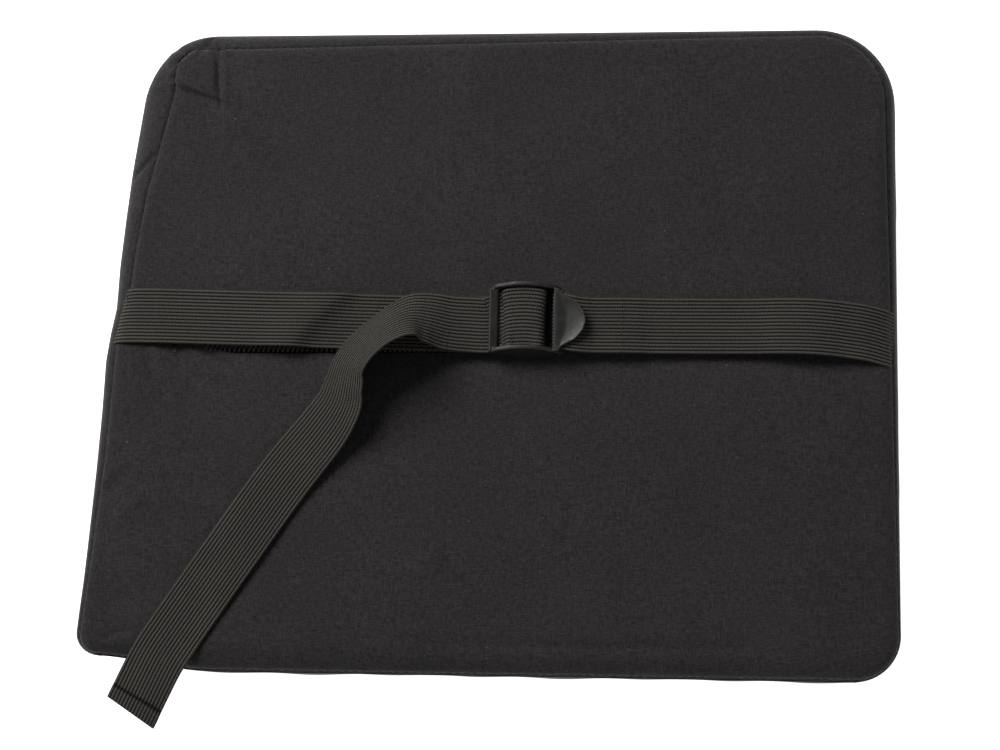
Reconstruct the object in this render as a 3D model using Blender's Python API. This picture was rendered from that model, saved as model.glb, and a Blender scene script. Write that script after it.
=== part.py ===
"""Lumbar support cushion: a foam core in a zipped fabric cover, with an elastic strap and a buckle.

The cushion lies on its front, so +Z points out of its flat back and +Y towards its top edge.
Lengths are in metres and angles in degrees. Heights with "above" in their name start at the back panel.
"""

import math

import bmesh
import bpy
from mathutils import Matrix, Vector

for leftover in list(bpy.data.objects):
    bpy.data.objects.remove(leftover)

# Cushion
top_width = 0.340
bottom_width = 0.365
height = 0.292
lean = 0.0113                # the top edge sits this far to the right of the bottom one
lumbar_depth = 0.095        # at the crest, from the front panel to the back panel
top_depth = 0.045
bottom_depth = 0.060
crest_low = -0.075          # the front is flat from here ...
crest_high = 0.0            # ... to here, and curves back beyond
edge_rise = 0.012           # the front's rim stands this far off the floor
corner_radii = (0.016, 0.024, 0.031, 0.030)     # bottom left, bottom right, top right, top left
seam_insets_left = (0.0034, 0.0137)             # the back seam inside the widest outline: bottom, top
seam_insets_right = (0.0010, 0.0055)
seam_insets_top = (0.0096, 0.0043)              # left, right
seam_inset_bottom = 0.0008
front_inset = 0.003
widest_drop = 0.014         # the sides are widest this far below the back panel
strap_hollow = 0.0002       # the back panel is pressed in this much under the strap ...
hollow_margin = 0.006       # ... and this far past its edge
gap = 0.0003                # between pieces that touch
core_play = 0.0003          # more room round the foam, whose sides are flat between its rings

# Cloth
back_thickness = 0.0015
boxing_thickness = 0.0012
front_thickness = 0.0025
panel_rim_drop = 0.0027
panel_rim_width = 0.003
thread_radius = 0.0003
boxing_joint_height = 0.0860  # where the ends of the boxing strip meet, on the left side

# Zip
zip_line = -0.0012           # its height up the back panel
zip_left = -0.1450
zip_right = 0.1600
zip_slot = 0.0090
hem_width = 0.0050
hem_depth = 0.0030
tape_width = 0.0130
tape_thickness = 0.0006
coil_gap = 0.0012
coil_width = 0.0024
coil_height = 0.0020
coil_top = -0.0010          # above the back panel, so the zip lies in a valley
slider_length = 0.0090
slider_width = 0.0078
slider_wall = 0.0006
slider_plate = 0.0010
bridge_width = 0.0018
bridge_clear = 0.0009       # inside the bridge, for the pull's eye
bridge_bar = 0.0004
bridge_foot = 0.0008
pull_length = 0.0140
pull_width = 0.0046
pull_thickness = 0.0005
pull_eye = 0.0034
pull_bar = 0.0012
stop_length = 0.0025

# Strap
strap_width = 0.025
strap_thickness = 0.0014
strap_above = 0.0020        # clear of the zip pull, wherever the slider is
strap_left = 0.0122         # height of the strap's middle up the back: at the left seam ...
strap_middle = 0.0078       # ... at the buckle ...
strap_right = 0.0026        # ... and at the right seam
layer_gap = 0.00035         # between two layers of strap
sewn_margin = 0.0008
strap_bump = 0.0036         # the strap rises this far over the zip's slider
sewn_end = 0.0590           # where the fixed strap's folded end stops
hem_length = 0.0060         # the folded end of the tail

# Buckle
buckle_left = -0.0030
buckle_length = 0.0450
buckle_play = 0.0006
rail_width = 0.0033
rail_above = 0.0009
front_bar_width = 0.0052
front_bar_height = 0.0022
near_slot = 0.0038
centre_bar_width = 0.0120
centre_bar_height = 0.0024
far_slot = 0.0090
rear_bar_width = 0.0045
rear_bar_height = 0.0017
bar_chamfer = 0.0006
bar_clear = 0.0004          # between a bar and the strap round it
turn_depth = 0.0012         # how far past a bar's end the strap starts to turn
tab_clear = 0.0008
tab_thickness = 0.0017
crown_height = 0.0018       # the rails' crown above the strap on the centre bar

# Mesh
corner_steps = 6
side_steps = 10
front_rings = (0.97, 0.92, 0.84, 0.70, 0.55, 0.38, 0.20)
path_steps = 3


def lerp(pair, share):
    return pair[0] + (pair[1] - pair[0]) * share


def up_share(y):
    """0 at the cushion's bottom edge and 1 at its top edge."""
    return min(max(y / height + 0.5, 0.0), 1.0)


def side_x(y, side):
    """The widest outline's left (-1) or right (+1) side at this height."""
    return lean * (up_share(y) - 0.5) + side * lerp((bottom_width, top_width), up_share(y)) / 2


def seam_x(y, side):
    insets = seam_insets_left if side < 0 else seam_insets_right
    return side_x(y, side) - side * lerp(insets, up_share(y))


def outline_corners():
    """The widest outline's corners, anticlockwise from the bottom left."""
    low, high = -height / 2, height / 2
    return [
        (side_x(low, -1), low),
        (side_x(low, 1), low),
        (side_x(high, 1), high),
        (side_x(high, -1), high),
    ]


def seam_corners():
    """The corners of the seam round the back panel."""
    low, high = -height / 2 + seam_inset_bottom, height / 2
    return [
        (seam_x(low, -1), low),
        (seam_x(low, 1), low),
        (seam_x(high, 1), high - seam_insets_top[1]),
        (seam_x(high, -1), high - seam_insets_top[0]),
    ]


def rounded_loop(corners, inset=0.0):
    """A closed loop of points with round corners, moved inwards by inset. Every loop has as many points."""
    points = [Vector(c) for c in corners]
    loop = []
    for i, corner in enumerate(points):
        to_last = (points[i - 1] - corner).normalized()
        to_next = (points[(i + 1) % 4] - corner).normalized()
        half = to_last.angle(to_next) / 2
        inward = (to_last + to_next).normalized()
        radius = max(corner_radii[i] - inset, 0.001)
        centre = corner + inward * ((radius + inset) / math.sin(half))
        start = (-to_next.orthogonal()).angle_signed(Vector((1, 0)))
        turn = math.pi - 2 * half
        first = math.atan2(-inward.y, -inward.x) - turn / 2
        for k in range(corner_steps + 1):
            angle = first + turn * k / corner_steps
            loop.append(centre + radius * Vector((math.cos(angle), math.sin(angle))))
    closed = []
    for i in range(4):
        arc = loop[i * (corner_steps + 1):(i + 1) * (corner_steps + 1)]
        after = loop[(i + 1) * (corner_steps + 1) % len(loop)]
        closed += arc
        closed += [arc[-1].lerp(after, k / side_steps) for k in range(1, side_steps)]
    return closed


def front_rise(y):
    """How far the front panel is off the floor in the middle of the cushion."""
    if y > crest_high:
        return (lumbar_depth - top_depth) * min((y - crest_high) / (height / 2 - crest_high), 1.0) ** 1.6
    if y < crest_low:
        return (lumbar_depth - bottom_depth) * min((crest_low - y) / (height / 2 + crest_low), 1.0) ** 1.6
    return 0.0


def front_ring(share, inset, above=0.0):
    """A ring of the front panel, this share of the way from the crest's middle to the rim."""
    ring = []
    rim = edge_rise * max(0.0, (share - 0.75) / 0.25) ** 2
    crest = Vector((0, (crest_low + crest_high) / 2))
    for p in rounded_loop(outline_corners(), inset):
        x, y = crest.lerp(p, share)
        ring.append((x, y, front_rise(y) + rim + above))
    return ring


def flat_ring(loop, z):
    return [(p.x, p.y, z) for p in loop]


def middle_z(y):
    """The height of the boxing's widest line, which stays above its front edge."""
    rim = front_rise(y) + edge_rise + front_thickness
    return max(lumbar_depth - widest_drop, (lumbar_depth + rim) / 2)


# Building blocks

def material_of(slot):
    colours = {
        "cover_fabric": ((0.034, 0.030, 0.031), 0.90, 0.0),
        "mesh_fabric": ((0.028, 0.028, 0.029), 0.92, 0.0),
        "foam": ((0.62, 0.60, 0.55), 0.95, 0.0),
        "elastic": ((0.030, 0.026, 0.024), 0.85, 0.0),
        "buckle_plastic": ((0.030, 0.028, 0.026), 0.38, 0.0),
        "zip_tape": ((0.020, 0.019, 0.019), 0.90, 0.0),
        "zip_coil": ((0.030, 0.025, 0.024), 0.45, 0.0),
        "zip_metal": ((0.045, 0.043, 0.040), 0.40, 0.8),
        "thread": ((0.018, 0.017, 0.017), 0.75, 0.0),
    }
    found = bpy.data.materials.get(slot)
    if found:
        return found
    made = bpy.data.materials.new(slot)
    made.use_nodes = True
    colour, roughness, metallic = colours[slot]
    shader = made.node_tree.nodes["Principled BSDF"]
    shader.inputs["Base Color"].default_value = (*colour, 1)
    shader.inputs["Roughness"].default_value = roughness
    shader.inputs["Metallic"].default_value = metallic
    return made


def new_object(name, points, faces, slot, origin=(0, 0, 0)):
    """A mesh object, facing out, whose origin is moved to the given place."""
    mesh = bpy.data.meshes.new(name)
    mesh.from_pydata([Vector(p) - Vector(origin) for p in points], [], faces)
    work = bmesh.new()
    work.from_mesh(mesh)
    bmesh.ops.recalc_face_normals(work, faces=work.faces)
    bmesh.ops.triangulate(work, faces=work.faces)
    work.to_mesh(mesh)
    work.free()
    made = bpy.data.objects.new(name, mesh)
    made.location = origin
    bpy.context.collection.objects.link(made)
    if slot:
        mesh.materials.append(material_of(slot))
    return made


def ring_faces(count, size, closed):
    """Quads between rings of this size; closed joins the last ring to the first."""
    faces = []
    for i in range(count if closed else count - 1):
        a, b = i * size, (i + 1) % count * size
        faces += [(a + k, a + (k + 1) % size, b + (k + 1) % size, b + k) for k in range(size)]
    return faces


def capped_rings(name, rings, slot):
    """A solid through rings of points, closed by a flat face at each end."""
    size = len(rings[0])
    faces = ring_faces(len(rings), size, False)
    faces += [tuple(range(size)), tuple(range((len(rings) - 1) * size, len(rings) * size))]
    return new_object(name, sum(rings, []), faces, slot)


def looped_rings(name, rings, slot):
    """A solid whose rings come back to the first, such as a band."""
    return new_object(name, sum(rings, []), ring_faces(len(rings), len(rings[0]), True), slot)


def box_points(low, high):
    return [(x, y, z) for z in (low[2], high[2]) for y in (low[1], high[1]) for x in (low[0], high[0])]


BOX_FACES = [(0, 2, 3, 1), (4, 5, 7, 6), (0, 1, 5, 4), (2, 6, 7, 3), (0, 4, 6, 2), (1, 3, 7, 5)]


def box(name, low, high, slot, origin=(0, 0, 0)):
    return new_object(name, box_points(low, high), BOX_FACES, slot, origin)


def prism(name, outline, y_low, y_high, slot=None, origin=(0, 0, 0)):
    """An outline in X and Z, carried from one y to the other."""
    size = len(outline)
    points = [(x, y, z) for y in (y_low, y_high) for x, z in outline]
    faces = ring_faces(2, size, False) + [tuple(range(size)), tuple(range(size, 2 * size))]
    return new_object(name, points, faces, slot, origin)


def combine(target, tool, operation):
    """Adds a Boolean, and turns its tool into a hidden helper."""
    tool.hide_render = True
    tool.display_type = "WIRE"
    step = target.modifiers.new(tool.name, "BOOLEAN")
    step.operation = operation
    step.object = tool


def smooth_path(stations):
    """Catmull-Rom points between stations of any number of values."""
    found = []
    for i in range(len(stations) - 1):
        a, b, c, d = (Vector(stations[min(max(i + k, 0), len(stations) - 1)]) for k in (-1, 0, 1, 2))
        for k in range(path_steps):
            t = k / path_steps
            found.append(0.5 * (2 * b + (c - a) * t + (2 * a - 5 * b + 4 * c - d) * t**2
                                + (3 * b - a - 3 * c + d) * t**3))
    return found + [Vector(stations[-1])]


def section(centre, across, along, half_width, half_thickness):
    """The four corners of a strap's cross-section."""
    normal = along.cross(across).normalized()
    return [
        tuple(centre + across * half_width * u + normal * half_thickness * v)
        for u, v in ((-1, -1), (1, -1), (1, 1), (-1, 1))
    ]


def ribbon(name, centres, acrosses, thicknesses, slot):
    rings = []
    for i, centre in enumerate(centres):
        along = (centres[min(i + 1, len(centres) - 1)] - centres[max(i - 1, 0)]).normalized()
        across = (acrosses[i] - along * acrosses[i].dot(along)).normalized()
        rings.append(section(centre, across, along, strap_width / 2, thicknesses[i] / 2))
    return capped_rings(name, rings, slot)


def thread_run(name, centres, closed=False):
    """A thin square tube along a run of points, for a line of stitching."""
    rings = []
    count = len(centres)
    for i, centre in enumerate(centres):
        last = centres[i - 1] if closed else centres[max(i - 1, 0)]
        after = centres[(i + 1) % count] if closed else centres[min(i + 1, count - 1)]
        along = (after - last).normalized()
        side = along.cross(Vector((0, 0, 1)))
        side = side.normalized() if side.length > 0.1 else Vector((1, 0, 0))
        up = side.cross(along).normalized()
        rings.append([tuple(centre + thread_radius * (side * u + up * v))
                      for u, v in ((-1, 0), (0, -1), (1, 0), (0, 1))])
    make = looped_rings if closed else capped_rings
    return make(name, rings, "thread")


# The cushion

def foam_core():
    """The foam block, with a groove that stands in for the foam that the zip presses down."""
    clear = boxing_thickness + gap + core_play
    top = lumbar_depth - back_thickness - gap
    rings = [
        flat_ring(rounded_loop(seam_corners(), clear + 0.006), top),
        flat_ring(rounded_loop(seam_corners(), clear + 0.002), top - 0.002),
        [(p.x, p.y, middle_z(p.y)) for p in rounded_loop(outline_corners(), clear)],
    ]
    above = front_thickness + gap
    rings.append(front_ring(1.0, front_inset + clear, above + edge_rise * 0.1))
    rings += [front_ring(share, front_inset, above) for share in front_rings[1:]]
    core = capped_rings("foam_core", rings, "foam")
    depth = -coil_top + coil_height + gap + tape_thickness + gap + slider_plate + gap
    reach = zip_slot / 2 + tape_width
    groove = box(
        "foam_groove_cutter",
        (zip_left - 0.012, zip_line - reach, lumbar_depth - depth - gap),
        (zip_right + 0.012, zip_line + reach, lumbar_depth + gap),
        None,
    )
    combine(core, groove, "DIFFERENCE")


def back_plate(name):
    """The whole back panel with its rim turned down, before the zip divides it."""
    top, under = lumbar_depth, lumbar_depth - back_thickness
    rim = lumbar_depth - panel_rim_drop
    rings = [
        flat_ring(rounded_loop(seam_corners(), panel_rim_width + 0.0006), under),
        flat_ring(rounded_loop(seam_corners(), boxing_thickness), rim),
        flat_ring(rounded_loop(seam_corners(), 0.0), rim),
        flat_ring(rounded_loop(seam_corners(), 0.0005), rim + back_thickness),
        flat_ring(rounded_loop(seam_corners(), panel_rim_width), top),
    ]
    return capped_rings(name, rings, "cover_fabric")


def back_panel(name, side):
    """The half of the back panel above (+1) or below (-1) the zip, hemmed along it."""
    panel = back_plate(name)
    far = side * height
    across = bottom_width
    low, high = lumbar_depth - 0.02, lumbar_depth + 0.02

    def cutter(label, x_low, x_high, y_near, y_far, z_low, z_high):
        y_low, y_high = sorted((y_near, y_far))
        return box(f"{name}_{label}", (x_low, y_low, z_low), (x_high, y_high, z_high), None)

    half = zip_line + side * gap / 2
    combine(panel, cutter("other_half_cutter", -across, across, half, -far, low, high), "DIFFERENCE")
    edge = zip_line + side * zip_slot / 2
    x_low, x_high = zip_left - 2 * stop_length, zip_right + 2 * stop_length
    combine(panel, cutter("slot_cutter", x_low, x_high, zip_line - side * gap, edge, low, high), "DIFFERENCE")
    hem_z = lumbar_depth - hem_depth
    hem = cutter("hem_tool", x_low, x_high, edge, edge + side * hem_width, hem_z, lumbar_depth - 0.0005)
    combine(panel, hem, "UNION")
    if side > 0:
        hollow_edge = max(strap_left, strap_middle) + strap_width / 2 + hollow_margin
        floor = lumbar_depth - strap_hollow
        combine(panel, cutter("hollow_cutter", -across, across, -far, hollow_edge, floor, high), "DIFFERENCE")


def boxing_strip():
    """The strip round the sides, open at the joint where its two ends are sewn together."""
    top = lumbar_depth - panel_rim_drop - gap

    def side_rings(inset):
        front = front_ring(1.0, front_inset + inset, front_thickness + gap)
        middle = [(p.x, p.y, middle_z(p.y)) for p in rounded_loop(outline_corners(), inset)]
        return [flat_ring(rounded_loop(seam_corners(), inset), top), middle, front]

    strip = looped_rings(
        "boxing_strip", side_rings(0.0) + side_rings(boxing_thickness)[::-1], "cover_fabric"
    )
    x = side_x(boxing_joint_height, -1)
    slit = box(
        "boxing_joint_cutter",
        (x - 0.01, boxing_joint_height - gap / 2, -0.01),
        (x + 0.02, boxing_joint_height + gap / 2, lumbar_depth + 0.01),
        None,
    )
    combine(strip, slit, "DIFFERENCE")


def front_panel():
    """The spacer-mesh front, curved to the spine."""
    shares = (1.0,) + front_rings
    under = [front_ring(share, front_inset) for share in shares]
    over = [front_ring(share, front_inset, front_thickness) for share in shares]
    capped_rings("front_panel", under[::-1] + over, "mesh_fabric")


def cover_threads():
    out = -(gap + thread_radius)
    seam_z = lumbar_depth - panel_rim_drop - gap / 2
    back = [Vector((p.x, p.y, seam_z)) for p in rounded_loop(seam_corners(), out)]
    thread_run("back_seam_thread", back, closed=True)
    loop = rounded_loop(outline_corners(), front_inset + out)
    front = [Vector((p.x, p.y, front_rise(p.y) + edge_rise + front_thickness)) for p in loop]
    thread_run("front_seam_thread", front, closed=True)
    y = boxing_joint_height
    x = side_x(y, -1) - 2 * (gap + thread_radius)
    low = front_rise(y) + edge_rise + front_thickness + 2 * gap
    thread_run("boxing_joint_thread", [Vector((x, y, middle_z(y))), Vector((x + front_inset, y, low))])


# The zip

def zip_halves():
    coil_z = lumbar_depth + coil_top
    tape_top = coil_z - coil_height - gap
    for name, side in (("upper", 1), ("lower", -1)):
        def span(near, far):
            return sorted((zip_line + side * near, zip_line + side * far))

        y_low, y_high = span(coil_gap / 2, coil_gap / 2 + tape_width)
        box(
            f"zip_tape_{name}",
            (zip_left - 0.008, y_low, tape_top - tape_thickness),
            (zip_right + 0.008, y_high, tape_top),
            "zip_tape",
        )
        y_low, y_high = span(coil_gap / 2, coil_gap / 2 + coil_width)
        box(
            f"zip_coil_{name}",
            (zip_left, y_low, coil_z - coil_height),
            (zip_right, y_high, coil_z),
            "zip_coil",
        )
        stop_x = zip_right + gap
        box(
            f"zip_top_stop_{name}",
            (stop_x, y_low, coil_z - coil_height),
            (stop_x + stop_length, y_high, coil_z),
            "zip_metal",
        )
        stitch_y = zip_line + side * (zip_slot / 2 + hem_width / 2)
        stitch_z = tape_top - tape_thickness - gap - thread_radius
        run = [Vector((x, stitch_y, stitch_z)) for x in (zip_left - 0.002, zip_right + 0.002)]
        thread_run(f"zip_seam_thread_{name}", run)
    reach = coil_gap / 2 + coil_width
    box(
        "zip_bottom_stop",
        (zip_left - gap - stop_length, zip_line - reach, coil_z - coil_height),
        (zip_left - gap, zip_line + reach, coil_z),
        "zip_metal",
    )


def zip_slider():
    """Two plates round the coils, joined by a fin between them, with a bridge that holds the pull."""
    x_low, x_high = zip_right - slider_length, zip_right
    coil_z = lumbar_depth + coil_top
    plate_low = coil_z + gap
    plate_top = plate_low + slider_plate
    half = slider_width / 2
    slider = box("zip_slider", (x_low, zip_line - half, plate_low), (x_high, zip_line + half, plate_top), "zip_metal")
    tape_low = coil_z - coil_height - gap - tape_thickness
    under_top = tape_low - gap
    lap = 0.0002
    pieces = {
        "fin": ((x_low + 0.002, -coil_gap / 4, under_top - lap), (x_high - 0.002, coil_gap / 4, plate_low + lap)),
        "under": ((x_low, -half, under_top - slider_plate + 0.0002), (x_high, half, under_top)),
    }
    flange_z = coil_z - coil_height + gap
    for side in (-1, 1):
        inner, outer = sorted((side * (half - slider_wall), side * half))
        pieces[f"flange_{side:+d}"] = ((x_low, inner, flange_z), (x_high, outer, plate_low + lap))
    bridge_z = plate_top + bridge_clear
    for label, x in (("left", x_low + 0.0010), ("right", x_high - 0.0010 - bridge_foot)):
        pieces[f"bridge_{label}"] = (
            (x, -bridge_width / 2, plate_top - lap),
            (x + bridge_foot, bridge_width / 2, bridge_z + bridge_bar),
        )
    pieces["bridge_bar"] = (
        (x_low + 0.0010, -bridge_width / 2, bridge_z),
        (x_high - 0.0010, bridge_width / 2, bridge_z + bridge_bar),
    )
    for label, (low, high) in pieces.items():
        tool = box(
            f"zip_slider_{label}_tool",
            (low[0], low[1] + zip_line, low[2]),
            (high[0], high[1] + zip_line, high[2]),
            None,
        )
        combine(slider, tool, "UNION")
    return (x_low + x_high) / 2, plate_top + bridge_clear / 2


def zip_pull(pivot_x, pivot_z):
    """The pull: a tab to the left, with an eye round the bridge's left foot."""
    half = pull_width / 2
    low_z, high_z = pivot_z - pull_thickness / 2, pivot_z + pull_thickness / 2
    origin = (pivot_x, zip_line, pivot_z)
    right = pivot_x + pull_bar / 2
    pull = box(
        "zip_pull", (right - pull_length, zip_line - half, low_z), (right, zip_line + half, high_z),
        "zip_metal", origin,
    )
    eye_right = pivot_x - pull_bar / 2
    eye_half = bridge_width / 2 + gap
    eye = box(
        "zip_pull_eye_cutter",
        (eye_right - pull_eye, zip_line - eye_half, low_z - 0.001),
        (eye_right, zip_line + eye_half, high_z + 0.001),
        None,
    )
    combine(pull, eye, "DIFFERENCE")


# The strap and its buckle

def strap_y(x):
    """The height of the strap's middle up the back, at this x."""
    if x < buckle_left:
        share = min(x / seam_x(strap_left, -1), 1.0)
        return lerp((strap_middle, strap_left), share)
    return lerp((strap_middle, strap_right), min(x / seam_x(strap_right, 1), 1.0) ** 10)


def strap_stations(pairs):
    """Centre points from pairs of x and height above the back panel."""
    return [(x, strap_y(x), lumbar_depth + z) for x, z in pairs]


def strap_levels():
    """The middles of the two lowest layers, above the back panel."""
    first = strap_above + strap_thickness / 2
    return first, first + strap_thickness + layer_gap


def buckle_bars():
    """Each bar's left, right, bottom and top; the last two are above the back panel."""
    low, high = strap_levels()
    room = strap_thickness / 2 + bar_clear
    front_left = buckle_left + bar_clear
    centre_left = front_left + front_bar_width + near_slot
    rear_left = centre_left + centre_bar_width + far_slot
    return {
        "front": (front_left, front_left + front_bar_width, high + room, high + room + front_bar_height),
        "centre": (centre_left, centre_left + centre_bar_width, low + room, low + room + centre_bar_height),
        "rear": (rear_left, rear_left + rear_bar_width, low + room, low + room + rear_bar_height),
    }


def turn_stations(bar_end, side, under, over):
    """Stations round one end of a bar, left (-1) or right (+1), from over it to under it."""
    reach = strap_thickness / 2 + bar_clear + 2 * turn_depth
    middle, half = (over + under) / 2, (over - under) / 2
    found = []
    for k in range(7):
        angle = math.pi * k / 6
        found.append((
            bar_end - side * turn_depth + side * reach * math.sin(angle),
            middle + half * math.cos(angle),
        ))
    return found


def strap_fixed():
    """The short strap: from the right seam, round the buckle's rear bar and back under itself."""
    low, high = strap_levels()
    end = seam_x(strap_right, 1) - sewn_margin
    start = gap + strap_thickness / 2
    rear_left, rear_right, _, rear_top = buckle_bars()["rear"]
    over = rear_top + strap_thickness / 2 + bar_clear
    slider_x = zip_right - slider_length / 2
    pairs = [(end, start), (end - 0.005, (start + 2 * low) / 3), (end - 0.009, low)]
    pairs += [
        (slider_x + offset, low + strap_bump * share)
        for offset, share in ((0.004, 0.0), (-0.007, 0.55), (-0.019, 1.0), (-0.032, 0.7), (-0.046, 0.1))
    ]
    pairs += [(sewn_end + 0.013, low), (sewn_end + 0.003, (low + high) / 2 + 0.0003), (sewn_end - 0.003, high)]
    pairs += [(rear_right + 0.012, high), (rear_right + 0.007, (high + over) / 2), (rear_right + 0.002, over)]
    pairs += turn_stations(rear_left, -1, low, over)
    pairs += [(rear_right + 0.012, low), (sewn_end, low)]
    centres = smooth_path(strap_stations(pairs))
    across = [Vector((0, 1, 0))] * len(centres)
    ribbon("strap_fixed", centres, across, [strap_thickness] * len(centres), "elastic")
    x = sewn_end - 0.004
    z = lumbar_depth + high + strap_thickness / 2 + gap + thread_radius
    half = strap_width / 2 - sewn_margin
    thread_run("strap_fixed_stitching", [Vector((x, strap_y(x) + s * half, z)) for s in (-1, 1)])


# The tail by hand: x, y, height above the panel, and how far its inner edge is rolled up.
tail_route = [
    (-0.0036, 0.0076, 0.00445, 0), (-0.0120, 0.0078, 0.0046, 0), (-0.0209, 0.0082, 0.0062, 6),
    (-0.0305, 0.0096, 0.0104, 20), (-0.0390, 0.0094, 0.0142, 36), (-0.0491, 0.0042, 0.0156, 45),
    (-0.0585, -0.0035, 0.0142, 46), (-0.0645, -0.0115, 0.0118, 44), (-0.0668, -0.0200, 0.0096, 38),
    (-0.0695, -0.0290, 0.0068, 24), (-0.0775, -0.0405, 0.0036, 9), (-0.0955, -0.0633, 0.0016, 0),
    (-0.1202, -0.0994, 0.0013, 0), (-0.1390, -0.1275, 0.0014, 0), (-0.1468, -0.1400, 0.0019, 0),
    (-0.1524, -0.1515, 0.0018, 0), (-0.1583, -0.1640, 0.0006, 0),
]


def strap_adjustable():
    """The long strap: from the left seam, up round the centre bar, down and back out as the tail."""
    low, high = strap_levels()
    bars = buckle_bars()
    centre_left, centre_right, _, centre_top = bars["centre"]
    front_right = bars["front"][1]
    over = centre_top + strap_thickness / 2 + bar_clear
    end = seam_x(strap_left, -1) + sewn_margin
    start = gap + strap_thickness / 2
    slot = (front_right + centre_left) / 2
    pairs = [(end, start), (end + 0.010, (start + 2 * low) / 3), (end + 0.022, low), (-0.060, low), (slot, low)]
    pairs += turn_stations(centre_right, 1, low, over)[::-1]
    pairs += [
        (centre_left + 0.0020, over),
        (centre_left - 0.0006, over - 0.0006),
        (slot, (over + high) / 2),
        (slot - 0.0011, high + 0.0004),
        (front_right - 0.0010, high),
    ]
    threaded = [Vector((*p, 0.0)) for p in strap_stations(pairs)]
    tail = [Vector((x, y, lumbar_depth + z, math.radians(roll))) for x, y, z, roll in tail_route]
    path = smooth_path([tuple(p) for p in threaded + tail])
    centres = [Vector(p[:3]) for p in path]
    tail_start = path_steps * len(threaded)
    acrosses = [Vector((0, 1, 0))] * tail_start
    for i in range(tail_start, len(centres)):
        along = centres[min(i + 1, len(centres) - 1)] - centres[i - 1]
        outward = Vector((along.y, -along.x, 0)).normalized()
        roll = path[i][3]
        acrosses.append(outward * math.cos(roll) - Vector((0, 0, 1)) * math.sin(roll))
    thicknesses = [strap_thickness] * len(centres)
    hem_from, last = centres[-1], centres[-1]
    first_hem = len(centres) - 1
    while (centres[first_hem] - last).length < hem_length:
        first_hem -= 1
        hem_from = centres[first_hem]
    thicknesses[first_hem:] = [2 * strap_thickness] * (len(centres) - first_hem)
    ribbon("strap_adjustable", centres, acrosses, thicknesses, "elastic")
    across = acrosses[first_hem]
    along = (centres[first_hem + 1] - centres[first_hem - 1]).normalized()
    normal = across.cross(along).normalized()
    seat = hem_from + normal * (strap_thickness + gap + thread_radius)
    half = strap_width / 2 - sewn_margin
    thread_run("hem_stitching", [seat + across * half * s for s in (-1, 1)])


def strap_tacks():
    """The lines of stitching that hold the strap's two ends to the cover."""
    for name, y_end, side in (("left", strap_left, -1), ("right", strap_right, 1)):
        x = seam_x(y_end, side) - side * 3 * sewn_margin
        z = lumbar_depth + 3 * gap + strap_thickness + thread_radius
        half = strap_width / 2 - sewn_margin
        run = [Vector((x, y_end + s * half, z)) for s in (-1, 1)]
        thread_run(f"strap_tack_{name}", run)


def bar_outline(left, right, low, high):
    chamfer = bar_chamfer
    z_low, z_high = lumbar_depth + low, lumbar_depth + high
    return [
        (left + chamfer, z_low), (right - chamfer, z_low), (right, z_low + chamfer),
        (right, z_high - chamfer), (right - chamfer, z_high), (left + chamfer, z_high),
        (left, z_high - chamfer), (left, z_low + chamfer),
    ]


def buckle():
    """A ladder lock: two arched rails, three bars and a thumb tab over the fixed strap."""
    bars = buckle_bars()
    inner = strap_width / 2 + buckle_play
    outer = inner + rail_width
    left, right = buckle_left, buckle_left + buckle_length
    low = lumbar_depth + rail_above
    crown = lumbar_depth + bars["centre"][3] + strap_thickness + crown_height
    rail_end = bars["rear"][1] + 0.0020
    rail = [
        (left, low), (rail_end - 0.0030, low), (rail_end, low + 0.0025), (rail_end, crown - 0.0030),
        (rail_end - 0.0040, crown - 0.0008), (left + 0.021, crown), (left + 0.010, crown - 0.0003),
        (left + 0.0025, crown - 0.0020), (left, crown - 0.0052),
    ]
    origin = (left, strap_middle, low)
    body = prism("buckle", rail, strap_middle - outer, strap_middle - inner, "buckle_plastic", origin)
    other = prism("buckle_far_rail_tool", rail, strap_middle + inner, strap_middle + outer)
    combine(body, other, "UNION")
    reach = inner + rail_width / 2
    for label, sizes in bars.items():
        tool = prism(f"buckle_{label}_bar_tool", bar_outline(*sizes), strap_middle - reach, strap_middle + reach)
        combine(body, tool, "UNION")
    tab_low = lumbar_depth + bars["rear"][3] + strap_thickness + tab_clear
    tab_top = tab_low + tab_thickness
    steps = 14
    rim_left = bars["rear"][0] + 0.0005
    length = right - rim_left
    edge = [(rim_left, reach)]
    edge += [
        (rim_left + length * (0.25 + 0.75 * math.sin(math.pi * k / steps)), reach * math.cos(math.pi * k / steps))
        for k in range(steps + 1)
    ]
    edge += [(rim_left, -reach)]
    rings = [[(x, strap_middle + y, z) for x, y in edge] for z in (tab_low, tab_top)]
    tab = capped_rings("buckle_tab_tool", rings, None)
    combine(body, tab, "UNION")


def stand_on_origin():
    """Moves everything so that the whole object's box stands on the origin, with its middle above it."""
    bpy.context.view_layer.update()
    corners = [
        o.matrix_world @ Vector(c)
        for o in bpy.data.objects if not o.hide_render
        for c in o.bound_box
    ]
    middle = [(min(c[i] for c in corners) + max(c[i] for c in corners)) / 2 for i in (0, 1)]
    whole = bpy.data.objects.new("cushion_origin", None)
    bpy.context.collection.objects.link(whole)
    for o in bpy.data.objects:
        if o is not whole:
            o.parent = whole
    whole.location = (-middle[0], -middle[1], 0)


foam_core()
back_panel("back_panel_upper", 1)
back_panel("back_panel_lower", -1)
boxing_strip()
front_panel()
cover_threads()
zip_halves()
zip_pull(*zip_slider())
strap_fixed()
strap_adjustable()
strap_tacks()
buckle()
stand_on_origin()
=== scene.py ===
"""Lumbar support cushion: the fabric cover, foam, zip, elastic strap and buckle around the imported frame.

The cushion lies on its front. Sizes are in metres; the cushion's own x and y start at its middle.
"""

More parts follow.
